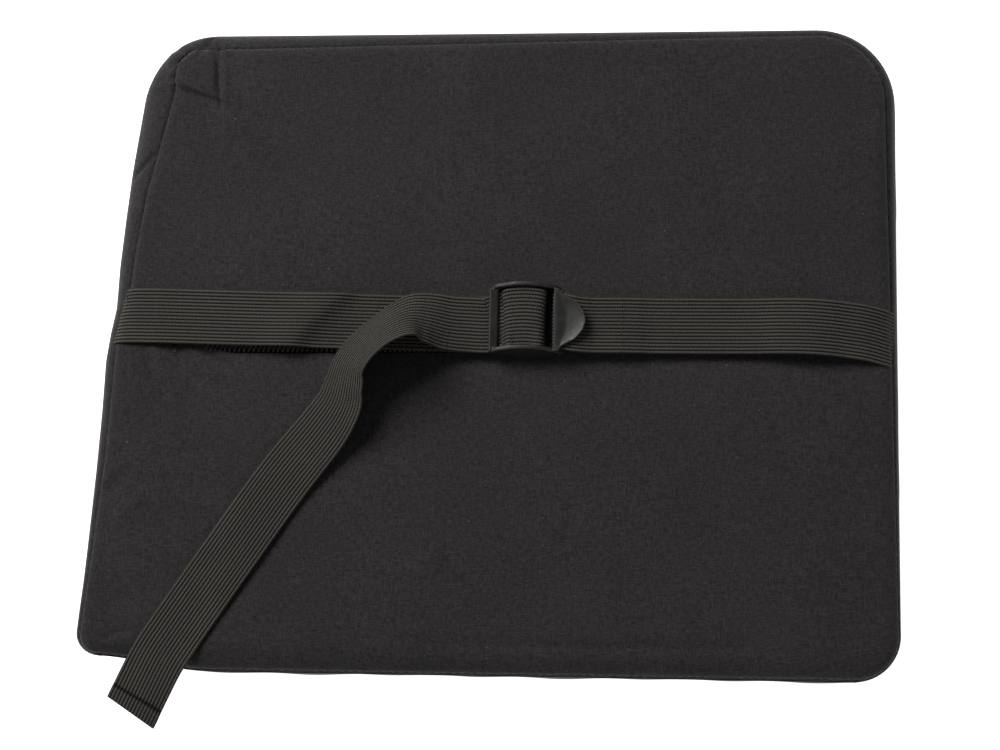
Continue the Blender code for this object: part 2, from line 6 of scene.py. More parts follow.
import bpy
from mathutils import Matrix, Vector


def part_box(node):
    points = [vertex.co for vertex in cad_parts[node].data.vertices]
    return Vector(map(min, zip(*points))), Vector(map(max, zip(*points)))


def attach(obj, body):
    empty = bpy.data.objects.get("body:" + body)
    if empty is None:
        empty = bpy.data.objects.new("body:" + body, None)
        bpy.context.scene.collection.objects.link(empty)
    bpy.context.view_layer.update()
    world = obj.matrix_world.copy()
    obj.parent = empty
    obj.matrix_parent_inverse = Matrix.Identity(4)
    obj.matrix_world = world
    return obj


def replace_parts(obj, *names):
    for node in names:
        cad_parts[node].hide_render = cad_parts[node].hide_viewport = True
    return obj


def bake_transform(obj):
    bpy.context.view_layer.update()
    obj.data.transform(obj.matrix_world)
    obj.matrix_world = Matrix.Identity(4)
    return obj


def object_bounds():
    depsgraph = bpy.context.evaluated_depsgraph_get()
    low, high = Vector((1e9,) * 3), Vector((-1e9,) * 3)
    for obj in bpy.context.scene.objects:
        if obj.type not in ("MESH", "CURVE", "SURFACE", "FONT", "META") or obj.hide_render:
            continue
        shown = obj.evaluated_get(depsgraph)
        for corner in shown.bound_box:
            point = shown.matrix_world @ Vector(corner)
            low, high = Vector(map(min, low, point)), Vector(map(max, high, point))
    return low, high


bl_info = {
    "name": "Lumbar support cushion",
    "version": (1, 0, 0),
    "blender": (4, 5, 0),
    "location": "View3D > Sidebar > Cushion",
    "description": "Makes the cushion's cloth, foam, zip, elastic strap and buckle",
    "category": "Object",
}

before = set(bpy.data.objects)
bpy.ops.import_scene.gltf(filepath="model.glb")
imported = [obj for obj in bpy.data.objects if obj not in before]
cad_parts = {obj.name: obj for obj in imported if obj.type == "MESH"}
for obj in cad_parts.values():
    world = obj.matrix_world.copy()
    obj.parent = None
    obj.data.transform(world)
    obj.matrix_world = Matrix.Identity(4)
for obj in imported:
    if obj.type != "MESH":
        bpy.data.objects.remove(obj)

import math
from functools import partial

import bmesh
import bpy
import numpy as np
from bpy.props import FloatProperty, FloatVectorProperty, IntProperty, PointerProperty
from mathutils import Vector

CAD_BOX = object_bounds()

# Places in the frame
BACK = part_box("back_panel_upper")[1][2]
BUCKLE_LEFT = -0.0030
STRAP_MIDDLE = 0.0078
HOME_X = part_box("buckle")[0][0] - BUCKLE_LEFT
HOME_Y = (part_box("boxing_strip")[0][1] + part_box("boxing_strip")[1][1]) / 2
ZIP_LINE = (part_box("zip_slider")[0][1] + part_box("zip_slider")[1][1]) / 2 - HOME_Y
ZIP_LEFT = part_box("zip_coil_upper")[0][0] - HOME_X
ZIP_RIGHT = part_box("zip_coil_upper")[1][0] - HOME_X
COIL_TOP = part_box("zip_coil_upper")[1][2]
COIL_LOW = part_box("zip_coil_upper")[0][2]


# Sizes and colours

def length(name, default, description):
    return FloatProperty(name=name, default=default, min=0.0, unit="LENGTH", description=description)


def colour(name, default, description):
    return FloatVectorProperty(name=name, default=default, size=3, min=0.0, max=1.0, subtype="COLOR",
                               description=description)


class CushionSizes(bpy.types.PropertyGroup):
    """Sizes of the cushion's outline and cover."""

    top_width: length("Top width", 0.340, "Across the top edge")
    bottom_width: length("Bottom width", 0.365, "Across the bottom edge")
    height: length("Height", 0.292, "From the bottom edge to the top edge")
    lean: length("Lean", 0.0113, "How far the top edge sits to the right of the bottom one")
    lumbar_depth: length("Lumbar depth", 0.095, "Thickness at the crest of the front")
    top_depth: length("Top depth", 0.045, "Thickness at the top edge")
    bottom_depth: length("Bottom depth", 0.060, "Thickness at the bottom edge")
    widest_drop: length("Widest drop", 0.014, "The sides are widest this far below the back")
    cloth: length("Cloth thickness", 0.0011, "Thickness of the cover's cloth")
    stitch_pitch: length("Stitch pitch", 0.0038, "From one seam stitch to the next")


class StrapSizes(bpy.types.PropertyGroup):
    """Sizes of the elastic strap."""

    width: length("Width", 0.025, "Across the strap")
    thickness: length("Thickness", 0.0014, "Over a rib")
    groove: length("Groove", 0.00036, "Depth of the groove between two ribs")
    ribs: IntProperty(name="Ribs", default=16, min=4, max=20, description="Ribs across the strap")
    above: length("Height", 0.0020, "Clear height under the strap, over the back panel")


class CushionColours(bpy.types.PropertyGroup):
    """Colours of the cushion's materials."""

    cover: colour("Cover", (0.0330, 0.0295, 0.0300), "Woven cover cloth")
    elastic: colour("Elastic", (0.0680, 0.0615, 0.0540), "Ribs of the elastic")
    buckle: colour("Buckle", (0.0165, 0.0158, 0.0145), "Moulded buckle")
    front: colour("Front mesh", (0.0240, 0.0240, 0.0250), "Spacer mesh of the front")
    foam: colour("Foam", (0.62, 0.58, 0.47), "Foam block")
    zip_coil: colour("Zip coil", (0.085, 0.066, 0.063), "Nylon coil of the zip")
    thread: colour("Thread", (0.010, 0.009, 0.009), "Sewing thread")


# Materials

def add_node(tree, kind, links=None, **settings):
    """A node with its settings, and its inputs linked or set."""
    made = tree.nodes.new(kind)
    for key, value in settings.items():
        setattr(made, key, value)
    for socket, value in (links or {}).items():
        if isinstance(value, bpy.types.NodeSocket):
            tree.links.new(value, made.inputs[socket])
        else:
            made.inputs[socket].default_value = value
    return made


class Shader:
    """A material under construction, with short calls for its nodes."""

    def __init__(self, name, base, roughness, **constants):
        self.material = bpy.data.materials.new(name)
        self.material.use_nodes = True
        self.tree = self.material.node_tree
        self.base = base
        self.principled = self.tree.nodes["Principled BSDF"]
        self.principled.inputs["Base Color"].default_value = (*base, 1)
        self.principled.inputs["Roughness"].default_value = roughness
        for socket, value in constants.items():
            self.principled.inputs[socket.replace("_", " ")].default_value = value

    def node(self, kind, links=None, **settings):
        return add_node(self.tree, kind, links, **settings)

    def place(self, output, scale):
        """Object or UV coordinates, stretched by scale."""
        source = self.node("ShaderNodeTexCoord").outputs[output]
        return self.node("ShaderNodeMapping", {"Vector": source, "Scale": scale}).outputs["Vector"]

    def noise(self, output, scale, detail=2.0, roughness=0.5):
        """Noise whose grains are 1/scale metres each way."""
        where = self.place(output, scale)
        return self.node("ShaderNodeTexNoise", {
            "Vector": where, "Scale": 1.0, "Detail": detail, "Roughness": roughness,
        }).outputs["Fac"]

    def attribute(self, name):
        return self.node("ShaderNodeAttribute", attribute_name=name).outputs["Fac"]

    def math(self, operation, first, second=0.0, third=0.0):
        return self.node("ShaderNodeMath", {0: first, 1: second, 2: third}, operation=operation).outputs[0]

    def remap(self, value, low, high, to_low, to_high):
        return self.node("ShaderNodeMapRange", {
            "Value": value, "From Min": low, "From Max": high, "To Min": to_low, "To Max": to_high,
        }).outputs["Result"]

    def shade(self, factor, colour_from=None):
        """The base colour, or another colour, times a factor."""
        base = colour_from if colour_from is not None else (*self.base, 1)
        grey = self.node("ShaderNodeCombineColor", {"Red": factor, "Green": factor, "Blue": factor})
        mix = self.node("ShaderNodeMix", data_type="RGBA", blend_type="MULTIPLY")
        mix.inputs[0].default_value = 1.0
        self.join(base, mix.inputs[6])
        self.join(grey.outputs["Color"], mix.inputs[7])
        return mix.outputs[2]

    def blend(self, factor, first, second):
        mix = self.node("ShaderNodeMix", data_type="RGBA")
        self.join(factor, mix.inputs[0])
        self.join(first, mix.inputs[6])
        self.join(second, mix.inputs[7])
        return mix.outputs[2]

    def join(self, value, socket):
        if isinstance(value, bpy.types.NodeSocket):
            self.tree.links.new(value, socket)
        else:
            socket.default_value = value

    def finish(self, base=None, height=None, distance=0.0002, strength=0.5, roughness=None):
        if base is not None:
            self.join(base, self.principled.inputs["Base Color"])
        if roughness is not None:
            self.join(roughness, self.principled.inputs["Roughness"])
        if height is not None:
            bump = self.node("ShaderNodeBump", {"Height": height, "Distance": distance, "Strength": strength})
            self.tree.links.new(bump.outputs["Normal"], self.principled.inputs["Normal"])
        return self.material


def woven_cloth(name, base, grain=1500.0):
    """Plain-woven polyester cotton: uneven yarns both ways, with flecks of lint and a soft sheen."""
    s = Shader(name, base, 0.88, Sheen_Weight=0.10, Sheen_Roughness=0.5)
    s.principled.inputs["Specular IOR Level"].default_value = 0.2
    warp = s.noise("Object", (grain, grain / 4, grain / 2), 2.0, 0.6)
    weft = s.noise("Object", (grain / 4, grain, grain / 2), 2.0, 0.6)
    yarns = s.math("MAXIMUM", warp, weft)
    patches = s.noise("Object", (28.0, 22.0, 28.0), 3.0, 0.55)
    tone = s.math("MULTIPLY", s.remap(yarns, 0.42, 0.76, 0.55, 1.55), s.remap(patches, 0.3, 0.7, 0.93, 1.08))
    flecks = s.noise("Object", (620.0, 560.0, 600.0), 1.0, 0.5)
    lint = s.remap(flecks, 0.775, 0.81, 0.0, 0.55)
    warm = s.noise("Object", (900.0, 900.0, 900.0), 1.0, 0.5)
    reddish = s.remap(warm, 0.68, 0.76, 0.0, 0.5)
    cloth = s.shade(tone)
    cloth = s.blend(reddish, cloth, (base[0] * 1.9, base[1] * 1.1, base[2] * 1.05, 1))
    cloth = s.blend(lint, cloth, (0.16, 0.15, 0.145, 1))
    return s.finish(cloth, yarns, 0.0003, 0.55)


def ribbed_elastic(name, base):
    """Braided elastic: ribs of short crossed stitches, with painted shade darkening the grooves between them.
    """
    s = Shader(name, base, 0.85, Sheen_Weight=0.04, Sheen_Roughness=0.5)
    s.principled.inputs["Specular IOR Level"].default_value = 0.15
    rib = s.attribute("rib")
    parts = s.node("ShaderNodeSeparateXYZ", {"Vector": s.node("ShaderNodeTexCoord").outputs["UV"]})
    across, along = parts.outputs["X"], parts.outputs["Y"]
    step = s.math("MULTIPLY", s.math("FLOOR", s.math("MULTIPLY", across, 480.0)), 0.37)
    phase = s.math("ADD", s.math("MULTIPLY", along, 930.0), step)
    stitch = s.math("SINE", s.math("MULTIPLY", phase, math.tau))
    fuzz = s.noise("UV", (2600.0, 1500.0, 1.0), 2.0, 0.6)
    patches = s.noise("UV", (60.0, 25.0, 1.0), 2.0, 0.5)
    texture = s.math("ADD", s.math("MULTIPLY", stitch, 0.16), s.remap(fuzz, 0.3, 0.7, 0.62, 1.38))
    tone = s.math("MULTIPLY", texture, s.remap(patches, 0.3, 0.7, 0.90, 1.10))
    # Painted shade: the rib value darkens the colour deep in the grooves between the ribs and lightens the
    # crests a little.
    tone = s.math("MULTIPLY", tone, s.remap(rib, 0.30, 0.95, 0.04, 1.22))
    height = s.math("ADD", s.math("MULTIPLY", stitch, 0.25), fuzz)
    return s.finish(s.shade(tone), height, 0.00025, 0.6)


def moulded_plastic(name, base):
    """Black acetal with a fine spark-eroded grain, rubbed a little smoother in patches."""
    s = Shader(name, base, 0.50)
    s.principled.inputs["Specular IOR Level"].default_value = 0.5
    grain = s.noise("Object", (3200.0, 3200.0, 3200.0), 2.0, 0.5)
    rubbed = s.noise("Object", (260.0, 260.0, 260.0), 3.0, 0.6)
    scuffs = s.noise("Object", (900.0, 380.0, 600.0), 2.0, 0.7)
    tone = s.math("MULTIPLY", s.remap(rubbed, 0.3, 0.7, 0.9, 1.12), s.remap(scuffs, 0.55, 0.75, 1.0, 1.5))
    return s.finish(s.shade(tone), grain, 0.00008, 0.5, s.remap(rubbed, 0.3, 0.7, 0.42, 0.60))


def spacer_mesh(name, base):
    """Warp-knitted spacer mesh: rows of small open cells over a darker layer."""
    s = Shader(name, base, 0.85, Sheen_Weight=0.15, Sheen_Roughness=0.5)
    where = s.place("Object", (330.0, 380.0, 120.0))
    cells = s.node("ShaderNodeTexVoronoi", {"Vector": where, "Scale": 1.0, "Randomness": 0.18},
                   voronoi_dimensions="2D", feature="F1").outputs["Distance"]
    holes = s.remap(cells, 0.22, 0.40, 0.0, 1.0)
    yarn = s.noise("Object", (2600.0, 1400.0, 1400.0), 2.0, 0.6)
    tone = s.math("MULTIPLY", s.remap(holes, 0.0, 1.0, 0.18, 1.0), s.remap(yarn, 0.3, 0.7, 0.8, 1.25))
    return s.finish(s.shade(tone), s.math("ADD", holes, s.math("MULTIPLY", yarn, 0.3)), 0.0006, 0.8)


def open_foam(name, base):
    """Open-cell polyurethane foam."""
    s = Shader(name, base, 0.95)
    cells = s.noise("Object", (900.0, 900.0, 900.0), 3.0, 0.6)
    blotches = s.noise("Object", (40.0, 40.0, 40.0), 2.0, 0.5)
    tone = s.math("MULTIPLY", s.remap(cells, 0.3, 0.7, 0.8, 1.1), s.remap(blotches, 0.3, 0.7, 0.92, 1.05))
    return s.finish(s.shade(tone), cells, 0.0006, 0.8)


def woven_tape(name, base):
    """Zip tape: narrow twill with a dense weave."""
    s = Shader(name, base, 0.9, Sheen_Weight=0.15)
    twill = s.noise("Object", (2400.0, 900.0, 900.0), 1.0, 0.5)
    wear = s.noise("Object", (60.0, 200.0, 60.0), 2.0, 0.5)
    tone = s.math("MULTIPLY", s.remap(twill, 0.35, 0.65, 0.7, 1.3), s.remap(wear, 0.3, 0.7, 0.9, 1.1))
    return s.finish(s.shade(tone), twill, 0.0002, 0.6)


def nylon_coil(name, base):
    """Dyed nylon monofilament, paler where it rubs."""
    s = Shader(name, base, 0.42)
    rubbed = s.noise("Object", (700.0, 1800.0, 1800.0), 2.0, 0.5)
    fine = s.noise("Object", (5000.0, 2000.0, 2000.0), 1.0, 0.5)
    return s.finish(s.shade(s.remap(rubbed, 0.3, 0.7, 0.7, 1.35)), fine, 0.00004, 0.3,
                    s.remap(rubbed, 0.3, 0.7, 0.34, 0.5))


def painted_metal(name, base):
    """Zinc with a thin black paint, chipped to bare metal in small spots."""
    s = Shader(name, base, 0.38, Metallic=0.75)
    chips = s.noise("Object", (1300.0, 1300.0, 1300.0), 3.0, 0.65)
    paint = s.noise("Object", (420.0, 420.0, 420.0), 2.0, 0.5)
    bare = s.remap(chips, 0.68, 0.72, 0.0, 0.7)
    tone = s.blend(bare, s.shade(s.remap(paint, 0.3, 0.7, 0.85, 1.15)), (0.10, 0.097, 0.09, 1))
    return s.finish(tone, paint, 0.00005, 0.4, s.remap(paint, 0.3, 0.7, 0.32, 0.46))


def sewing_thread(name, base):
    """Twisted polyester thread."""
    s = Shader(name, base, 0.7, Sheen_Weight=0.2)
    twist = s.noise("Object", (4200.0, 4200.0, 4200.0), 1.0, 0.5)
    return s.finish(s.shade(s.remap(twist, 0.3, 0.7, 0.6, 1.6)), twist, 0.0001, 0.6)


def material_for(slot):
    """The material of one of the record's slots, made once."""
    found = bpy.data.materials.get(f"cushion_{slot}")
    if found:
        return found
    colours = bpy.context.scene.cushion_colours
    makers = {
        "cover_fabric": (woven_cloth, colours.cover),
        "mesh_fabric": (spacer_mesh, colours.front),
        "foam": (open_foam, colours.foam),
        "elastic": (ribbed_elastic, colours.elastic),
        "buckle_plastic": (moulded_plastic, colours.buckle),
        "zip_tape": (woven_tape, (0.026, 0.024, 0.024)),
        "zip_coil": (nylon_coil, colours.zip_coil),
        "zip_metal": (painted_metal, (0.035, 0.034, 0.032)),
        "thread": (sewing_thread, colours.thread),
    }
    make, base = makers[slot]
    return make(f"cushion_{slot}", tuple(base))


# Building blocks

CORNER_PULL = 0.0062         # the cover is drawn up this far at its bottom left corner


def drawn_up(points):
    """The cover's points after its bottom left corner is drawn up."""
    points = np.array(points, float)
    near = smooth(-points[:, 0], 0.1250, 0.1780) * (1 - smooth(points[:, 1], -0.1460, -0.0900))
    points[:, 1] += CORNER_PULL * near
    return points


def new_piece(name, points, faces, slot, uv=None, values=None, cover=False):
    """A smooth mesh object in the frame, from points in the cushion's own coordinates."""
    points = drawn_up(points) if cover else points
    mesh = bpy.data.meshes.new(name)
    points = np.asarray(points, float) + np.array([HOME_X, HOME_Y, 0.0])
    mesh.from_pydata(points.tolist(), [], faces)
    if uv is not None:
        layer = mesh.uv_layers.new(name="UVMap")
        corners = np.empty(len(mesh.loops), np.int32)
        mesh.loops.foreach_get("vertex_index", corners)
        layer.data.foreach_set("uv", np.asarray(uv, np.float32)[corners].ravel())
    for key, numbers in (values or {}).items():
        mesh.attributes.new(key, "FLOAT", "POINT").data.foreach_set("value", np.asarray(numbers, np.float32))
    mesh.polygons.foreach_set("use_smooth", [True] * len(mesh.polygons))
    mesh.materials.append(material_for(slot))
    made = bpy.data.objects.new(name, mesh)
    bpy.context.scene.collection.objects.link(made)
    return made


def outward(obj):
    """Turns a closed mesh's faces outwards."""
    work = bmesh.new()
    work.from_mesh(obj.data)
    bmesh.ops.recalc_face_normals(work, faces=work.faces)
    work.to_mesh(obj.data)
    work.free()


def thicken(obj, thickness):
    """Gives a sheet its thickness, inwards from its outer face."""
    wall = obj.modifiers.new("thickness", "SOLIDIFY")
    wall.thickness = thickness
    wall.offset = -1.0


def settle_modifiers(obj):
    """Turns what the modifiers make into the object's own plain mesh."""
    graph = bpy.context.evaluated_depsgraph_get()
    mesh = bpy.data.meshes.new_from_object(obj.evaluated_get(graph))
    obj.modifiers.clear()
    obj.data = mesh
    mesh.polygons.foreach_set("use_smooth", [True] * len(mesh.polygons))


def grid_faces(rows, columns):
    """Quads of a grid whose rows run along x and follow each other up y, facing +Z."""
    index = np.arange(rows * columns).reshape(rows, columns)
    quads = np.stack([index[:-1, :-1], index[:-1, 1:], index[1:, 1:], index[1:, :-1]], axis=-1)
    return quads.reshape(-1, 4).tolist()


def ring_faces(levels, size):
    """Quads between closed rings that follow each other downwards, facing away from the middle."""
    index = np.arange(levels * size).reshape(levels, size)
    after = np.roll(index, -1, axis=1)
    quads = np.stack([index[1:], after[1:], after[:-1], index[:-1]], axis=-1)
    return quads.reshape(-1, 4).tolist()


def smooth(value, low, high):
    share = np.clip((value - low) / (high - low), 0.0, 1.0)
    return share * share * (3 - 2 * share)


def unit(vectors):
    """Vectors brought to a length of 1."""
    return vectors / np.maximum(np.linalg.norm(vectors, axis=-1, keepdims=True), 1e-9)


def with_height(xy, z):
    """Points from their x and y and their heights."""
    return np.concatenate([xy, z[:, None]], axis=1)


def band_faces(levels, size):
    """Quads between closed rings that follow each other, and a face over each end."""
    faces = [(a + k, a + (k + 1) % size, a + size + (k + 1) % size, a + size + k)
             for a in range(0, (levels - 1) * size, size) for k in range(size)]
    return faces + [tuple(reversed(range(size))), tuple(range((levels - 1) * size, levels * size))]


def catmull(stations, steps=12):
    """A smooth run through stations of any number of values."""
    p = np.asarray(stations, float)
    found = []
    for i in range(len(p) - 1):
        a, b, c, d = (p[min(max(i + k, 0), len(p) - 1)] for k in (-1, 0, 1, 2))
        for t in np.arange(steps) / steps:
            found.append(0.5 * (2 * b + (c - a) * t + (2 * a - 5 * b + 4 * c - d) * t**2
                                + (3 * b - a - 3 * c + d) * t**3))
    return np.array(found + [p[-1]])


def even_run(stations, spacing):
    """The smooth run, with its points evenly spaced along it."""
    run = catmull(stations)
    steps = np.linalg.norm(np.diff(run[:, :3], axis=0), axis=1)
    travelled = np.concatenate([[0.0], np.cumsum(steps)])
    count = max(int(round(travelled[-1] / spacing)), 2)
    wanted = np.linspace(0.0, travelled[-1], count + 1)
    return np.stack([np.interp(wanted, travelled, run[:, k]) for k in range(run.shape[1])], axis=1), wanted


# The cushion's shape

CORNER_RADII = (0.010, 0.021, 0.035, 0.035)     # bottom left, bottom right, top right, top left
SEAM_INSETS_LEFT = (0.0034, 0.0137)             # the back seam inside the widest outline: bottom, top
SEAM_INSETS_RIGHT = (0.0010, 0.0055)
SEAM_INSETS_TOP = (0.0096, 0.0043)              # left, right
SEAM_INSET_BOTTOM = 0.0008
FRONT_INSET = 0.003
FRONT_THICKNESS = 0.0025
EDGE_RISE = 0.012
CREST = (-0.075, 0.0)
CORNER_STEPS = 16
SEAM_RADII = (0.0090, 0.019, 0.031, 0.009)       # the back seam's own corners; the top left one is crumpled
# The strap's pull draws the left side in: pairs of y and how far the seam lies inside the widest outline.
LEFT_SEAM = ((-0.146, 0.0034), (-0.050, 0.0042), (-0.030, 0.0037), (0.000, 0.0028), (0.012, 0.0042),
             (0.025, 0.0060), (0.044, 0.0062), (0.070, 0.0080), (0.092, 0.0113), (0.117, 0.0150),
             (0.146, 0.0145))
# Pairs of y and how far the outline itself is drawn in there.
LEFT_PULL = ((-0.110, 0.0), (-0.060, -0.0009), (-0.030, -0.0018), (-0.008, -0.0030), (0.004, -0.0025),
             (0.016, -0.0013), (0.024, -0.0016), (0.036, -0.0022), (0.060, -0.0023), (0.081, -0.0021),
             (0.100, -0.0012), (0.125, 0.0))
# How the back rolls over to its seam: width and depth of the roll, for bottom, right, top, left.
ROLL_WIDTHS = (0.014, 0.006, 0.0055, 0.0045)
ROLL_DEPTHS = (0.0060, 0.0030, 0.0022, 0.0020)


class Outline:
    """The cushion's outline and its rolled edges, worked out from its sizes."""

    def __init__(self, sizes):
        self.half = sizes.height / 2
        self.height = sizes.height
        self.widths = (sizes.bottom_width, sizes.top_width)
        self.lean = sizes.lean
        self.depth = sizes.lumbar_depth
        self.end_depths = (sizes.bottom_depth, sizes.top_depth)
        self.widest_drop = sizes.widest_drop

    def up_share(self, y):
        return np.clip(y / self.height + 0.5, 0.0, 1.0)

    def side_x(self, y, side):
        share = self.up_share(y)
        width = self.widths[0] + (self.widths[1] - self.widths[0]) * share
        return self.lean * (share - 0.5) + side * width / 2

    def seam_x(self, y, side):
        low, high = SEAM_INSETS_LEFT if side < 0 else SEAM_INSETS_RIGHT
        return self.side_x(y, side) - side * (low + (high - low) * self.up_share(y))

    def corners(self):
        """The widest outline's corners, anticlockwise from the bottom left."""
        low, high = -self.half, self.half
        return np.array([(self.side_x(low, -1), low), (self.side_x(low, 1), low),
                         (self.side_x(high, 1), high), (self.side_x(high, -1), high)])

    def seam_corners(self):
        """The corners of the seam round the back panel."""
        low, high = -self.half + SEAM_INSET_BOTTOM, self.half
        return np.array([(self.seam_x(low, -1), low), (self.seam_x(low, 1), low),
                         (self.seam_x(high, 1), high - SEAM_INSETS_TOP[1]),
                         (self.seam_x(high, -1), high - SEAM_INSETS_TOP[0])])

    def pulled(self, x, y, seam=True):
        """x moved by the strap's pull on the left side, for the seam or for the widest outline."""
        low, high = SEAM_INSETS_LEFT
        if seam:
            shift = np.interp(y, *zip(*LEFT_SEAM)) - (low + (high - low) * self.up_share(y))
        else:
            shift = np.interp(y, *zip(*LEFT_PULL))
        return x + shift * smooth(-x, 0.105, 0.160)

    def loop(self, corners, inset, side_steps, radii=CORNER_RADII):
        """A closed loop with round corners, moved inwards by inset. Every loop has as many points."""
        arcs = []
        for i, corner in enumerate(corners):
            to_last = unit(corners[i - 1] - corner)
            to_next = unit(corners[(i + 1) % 4] - corner)
            half = math.acos(float(to_last @ to_next)) / 2
            inward = unit(to_last + to_next)
            radius = max(radii[i] - inset, 0.001)
            centre = corner + inward * (radius + inset) / math.sin(half)
            turn = math.pi - 2 * half
            first = math.atan2(-inward[1], -inward[0]) - turn / 2
            angles = first + turn * np.arange(CORNER_STEPS + 1) / CORNER_STEPS
            arcs.append(centre + radius * np.stack([np.cos(angles), np.sin(angles)], axis=1))
        found = []
        for i in range(4):
            after = arcs[(i + 1) % 4][0]
            between = np.arange(1, side_steps)[:, None] / side_steps
            found += [arcs[i], arcs[i][-1] + (after - arcs[i][-1]) * between]
        return np.concatenate(found)

    def side_distances(self, x, y):
        """How far points are inside the back seam's bottom, right, top and left lines."""
        corners = self.seam_corners()
        found = []
        for i in range(4):
            start, end = corners[i], corners[(i + 1) % 4]
            along = unit(end - start)
            found.append((y - start[1]) * along[0] - (x - start[0]) * along[1])
        return np.stack(found)

    def edge_distance(self, x, y):
        """How far points are inside the back seam, round its corners too."""
        sides = self.side_distances(x, y)
        inside = sides.min(axis=0)
        for i, radius in enumerate(SEAM_RADII):
            first, second = sides[i - 1], sides[i]
            reach = np.hypot(np.maximum(radius - first, 0), np.maximum(radius - second, 0))
            near = (first < radius) & (second < radius)
            inside = np.where(near, np.minimum(inside, radius - reach), inside)
        return inside

    def roll(self, x, y):
        """Width and depth of the rolled edge near each point."""
        sides = self.side_distances(x, y)
        weights = np.exp(-(sides - sides.min(axis=0)) / 0.010)
        weights /= weights.sum(axis=0)
        return tuple(np.tensordot(np.array(sizes), weights, 1) for sizes in (ROLL_WIDTHS, ROLL_DEPTHS))

    def edge_drop(self, x, y):
        """How far the back has rolled down here."""
        width, depth = self.roll(x, y)
        share = np.clip(1 - self.edge_distance(x, y) / width, 0.0, 1.0)
        return depth * (1 - np.sqrt(np.clip(1 - share**2.2, 0.0, 1.0)))

    def seam_loop(self, inset, side_steps):
        """The back seam's loop before and after the strap's pull."""
        straight = self.loop(self.seam_corners(), inset, side_steps, SEAM_RADII)
        moved = straight.copy()
        moved[:, 0] = self.pulled(straight[:, 0], straight[:, 1])
        return straight, moved

    def side_loop(self, inset, side_steps):
        """The widest outline's loop after the strap's pull."""
        moved = self.loop(self.corners(), inset, side_steps)
        moved[:, 0] = self.pulled(moved[:, 0], moved[:, 1], seam=False)
        return moved

    def front_rise(self, y):
        """How far the front panel is off the floor in the middle of the cushion."""
        low, high = CREST
        over = np.clip((y - high) / (self.half - high), 0.0, 1.0) ** 1.6
        under = np.clip((low - y) / (self.half + low), 0.0, 1.0) ** 1.6
        return (self.depth - self.end_depths[1]) * over + (self.depth - self.end_depths[0]) * under

    def widest_z(self, y):
        rim = self.front_rise(y) + EDGE_RISE + FRONT_THICKNESS
        return np.maximum(BACK - self.widest_drop, (BACK + rim) / 2)


# Creases and folds of the cover, in the cushion's coordinates: points of the line, depth of the valley, its
# width. A negative depth is a ridge.
CREASES = [
    ([(-0.1318, 0.1400), (-0.1306, 0.1240), (-0.1290, 0.1090)], 0.0021, 0.0014),
    ([(-0.1280, 0.1385), (-0.1275, 0.1240), (-0.1265, 0.1120)], -0.0008, 0.0024),
    ([(-0.1194, 0.1142), (-0.1181, 0.1057)], 0.0007, 0.0012),
    ([(-0.1600, -0.0035), (-0.1560, -0.0130), (-0.1490, -0.0240)], 0.0012, 0.0022),
    ([(-0.1560, -0.0010), (-0.1505, -0.0120), (-0.1430, -0.0230)], -0.0010, 0.0026),
    ([(-0.1475, 0.0010), (-0.1430, -0.0090), (-0.1345, -0.0200)], 0.0012, 0.0021),
    ([(-0.1400, -0.0005), (-0.1350, -0.0080), (-0.1269, -0.0160)], -0.0009, 0.0024),
    ([(-0.1320, 0.0000), (-0.1270, -0.0070), (-0.1200, -0.0120)], 0.0009, 0.0019),
    ([(-0.1768, -0.0713), (-0.1637, -0.0577)], 0.0008, 0.0030),
    ([(-0.1700, -0.0820), (-0.1570, -0.0680)], -0.0007, 0.0030),
    ([(-0.1586, 0.0881), (-0.1637, 0.0830), (-0.1700, 0.0765)], 0.0018, 0.0009),
    ([(-0.1530, 0.1400), (-0.1499, 0.1370), (-0.1462, 0.1330)], 0.0024, 0.0010),
    ([(-0.1350, 0.1440), (-0.1377, 0.1370)], 0.0026, 0.0011),
    ([(-0.1750, -0.1390), (-0.1660, -0.1345), (-0.1600, -0.1330)], 0.0008, 0.0018),
    ([(0.1700, 0.1080), (0.1600, 0.1000), (0.1500, 0.0960)], 0.0007, 0.0030),
    ([(-0.0300, -0.1325), (0.0400, -0.1335), (0.1200, -0.1322)], 0.0008, 0.0030),
]
# A fold stands up on one side of its line (to the right of its direction) and falls off on the other.
FOLD_EDGE = 0.0008
FOLDS = [
    ([(-0.1336, 0.1140), (-0.1379, 0.1157), (-0.1488, 0.1200), (-0.1536, 0.1243), (-0.1544, 0.1300)],
     0.0026, 0.011),
    ([(-0.1536, 0.1250), (-0.1406, 0.1365), (-0.1365, 0.1374)], 0.0010, 0.006),
]


def to_line(x, y, line):
    """Distance to a line of points, on which side it is, and how near its ends (0 at an end, 1 inside)."""
    line = np.asarray(line, float)
    lengths = np.linalg.norm(np.diff(line, axis=0), axis=1)
    before = np.concatenate([[0.0], np.cumsum(lengths)])
    best = np.full(np.shape(x), 1e9)
    side = np.zeros(np.shape(x))
    share = np.zeros(np.shape(x))
    for i in range(len(line) - 1):
        a, b = line[i], line[i + 1]
        along = (b - a) / lengths[i]
        run = np.clip((x - a[0]) * along[0] + (y - a[1]) * along[1], 0.0, lengths[i])
        away = np.hypot(x - a[0] - run * along[0], y - a[1] - run * along[1])
        left = along[0] * (y - a[1]) - along[1] * (x - a[0])
        nearer = away < best
        best = np.where(nearer, away, best)
        side = np.where(nearer, np.sign(left), side)
        share = np.where(nearer, (before[i] + run) / before[-1], share)
    return best, side, share


def line_taper(share):
    """Fades a crease or a fold towards both ends of its line."""
    return np.sin(np.pi * np.clip(share * 0.9 + 0.05, 0, 1)) ** 0.5


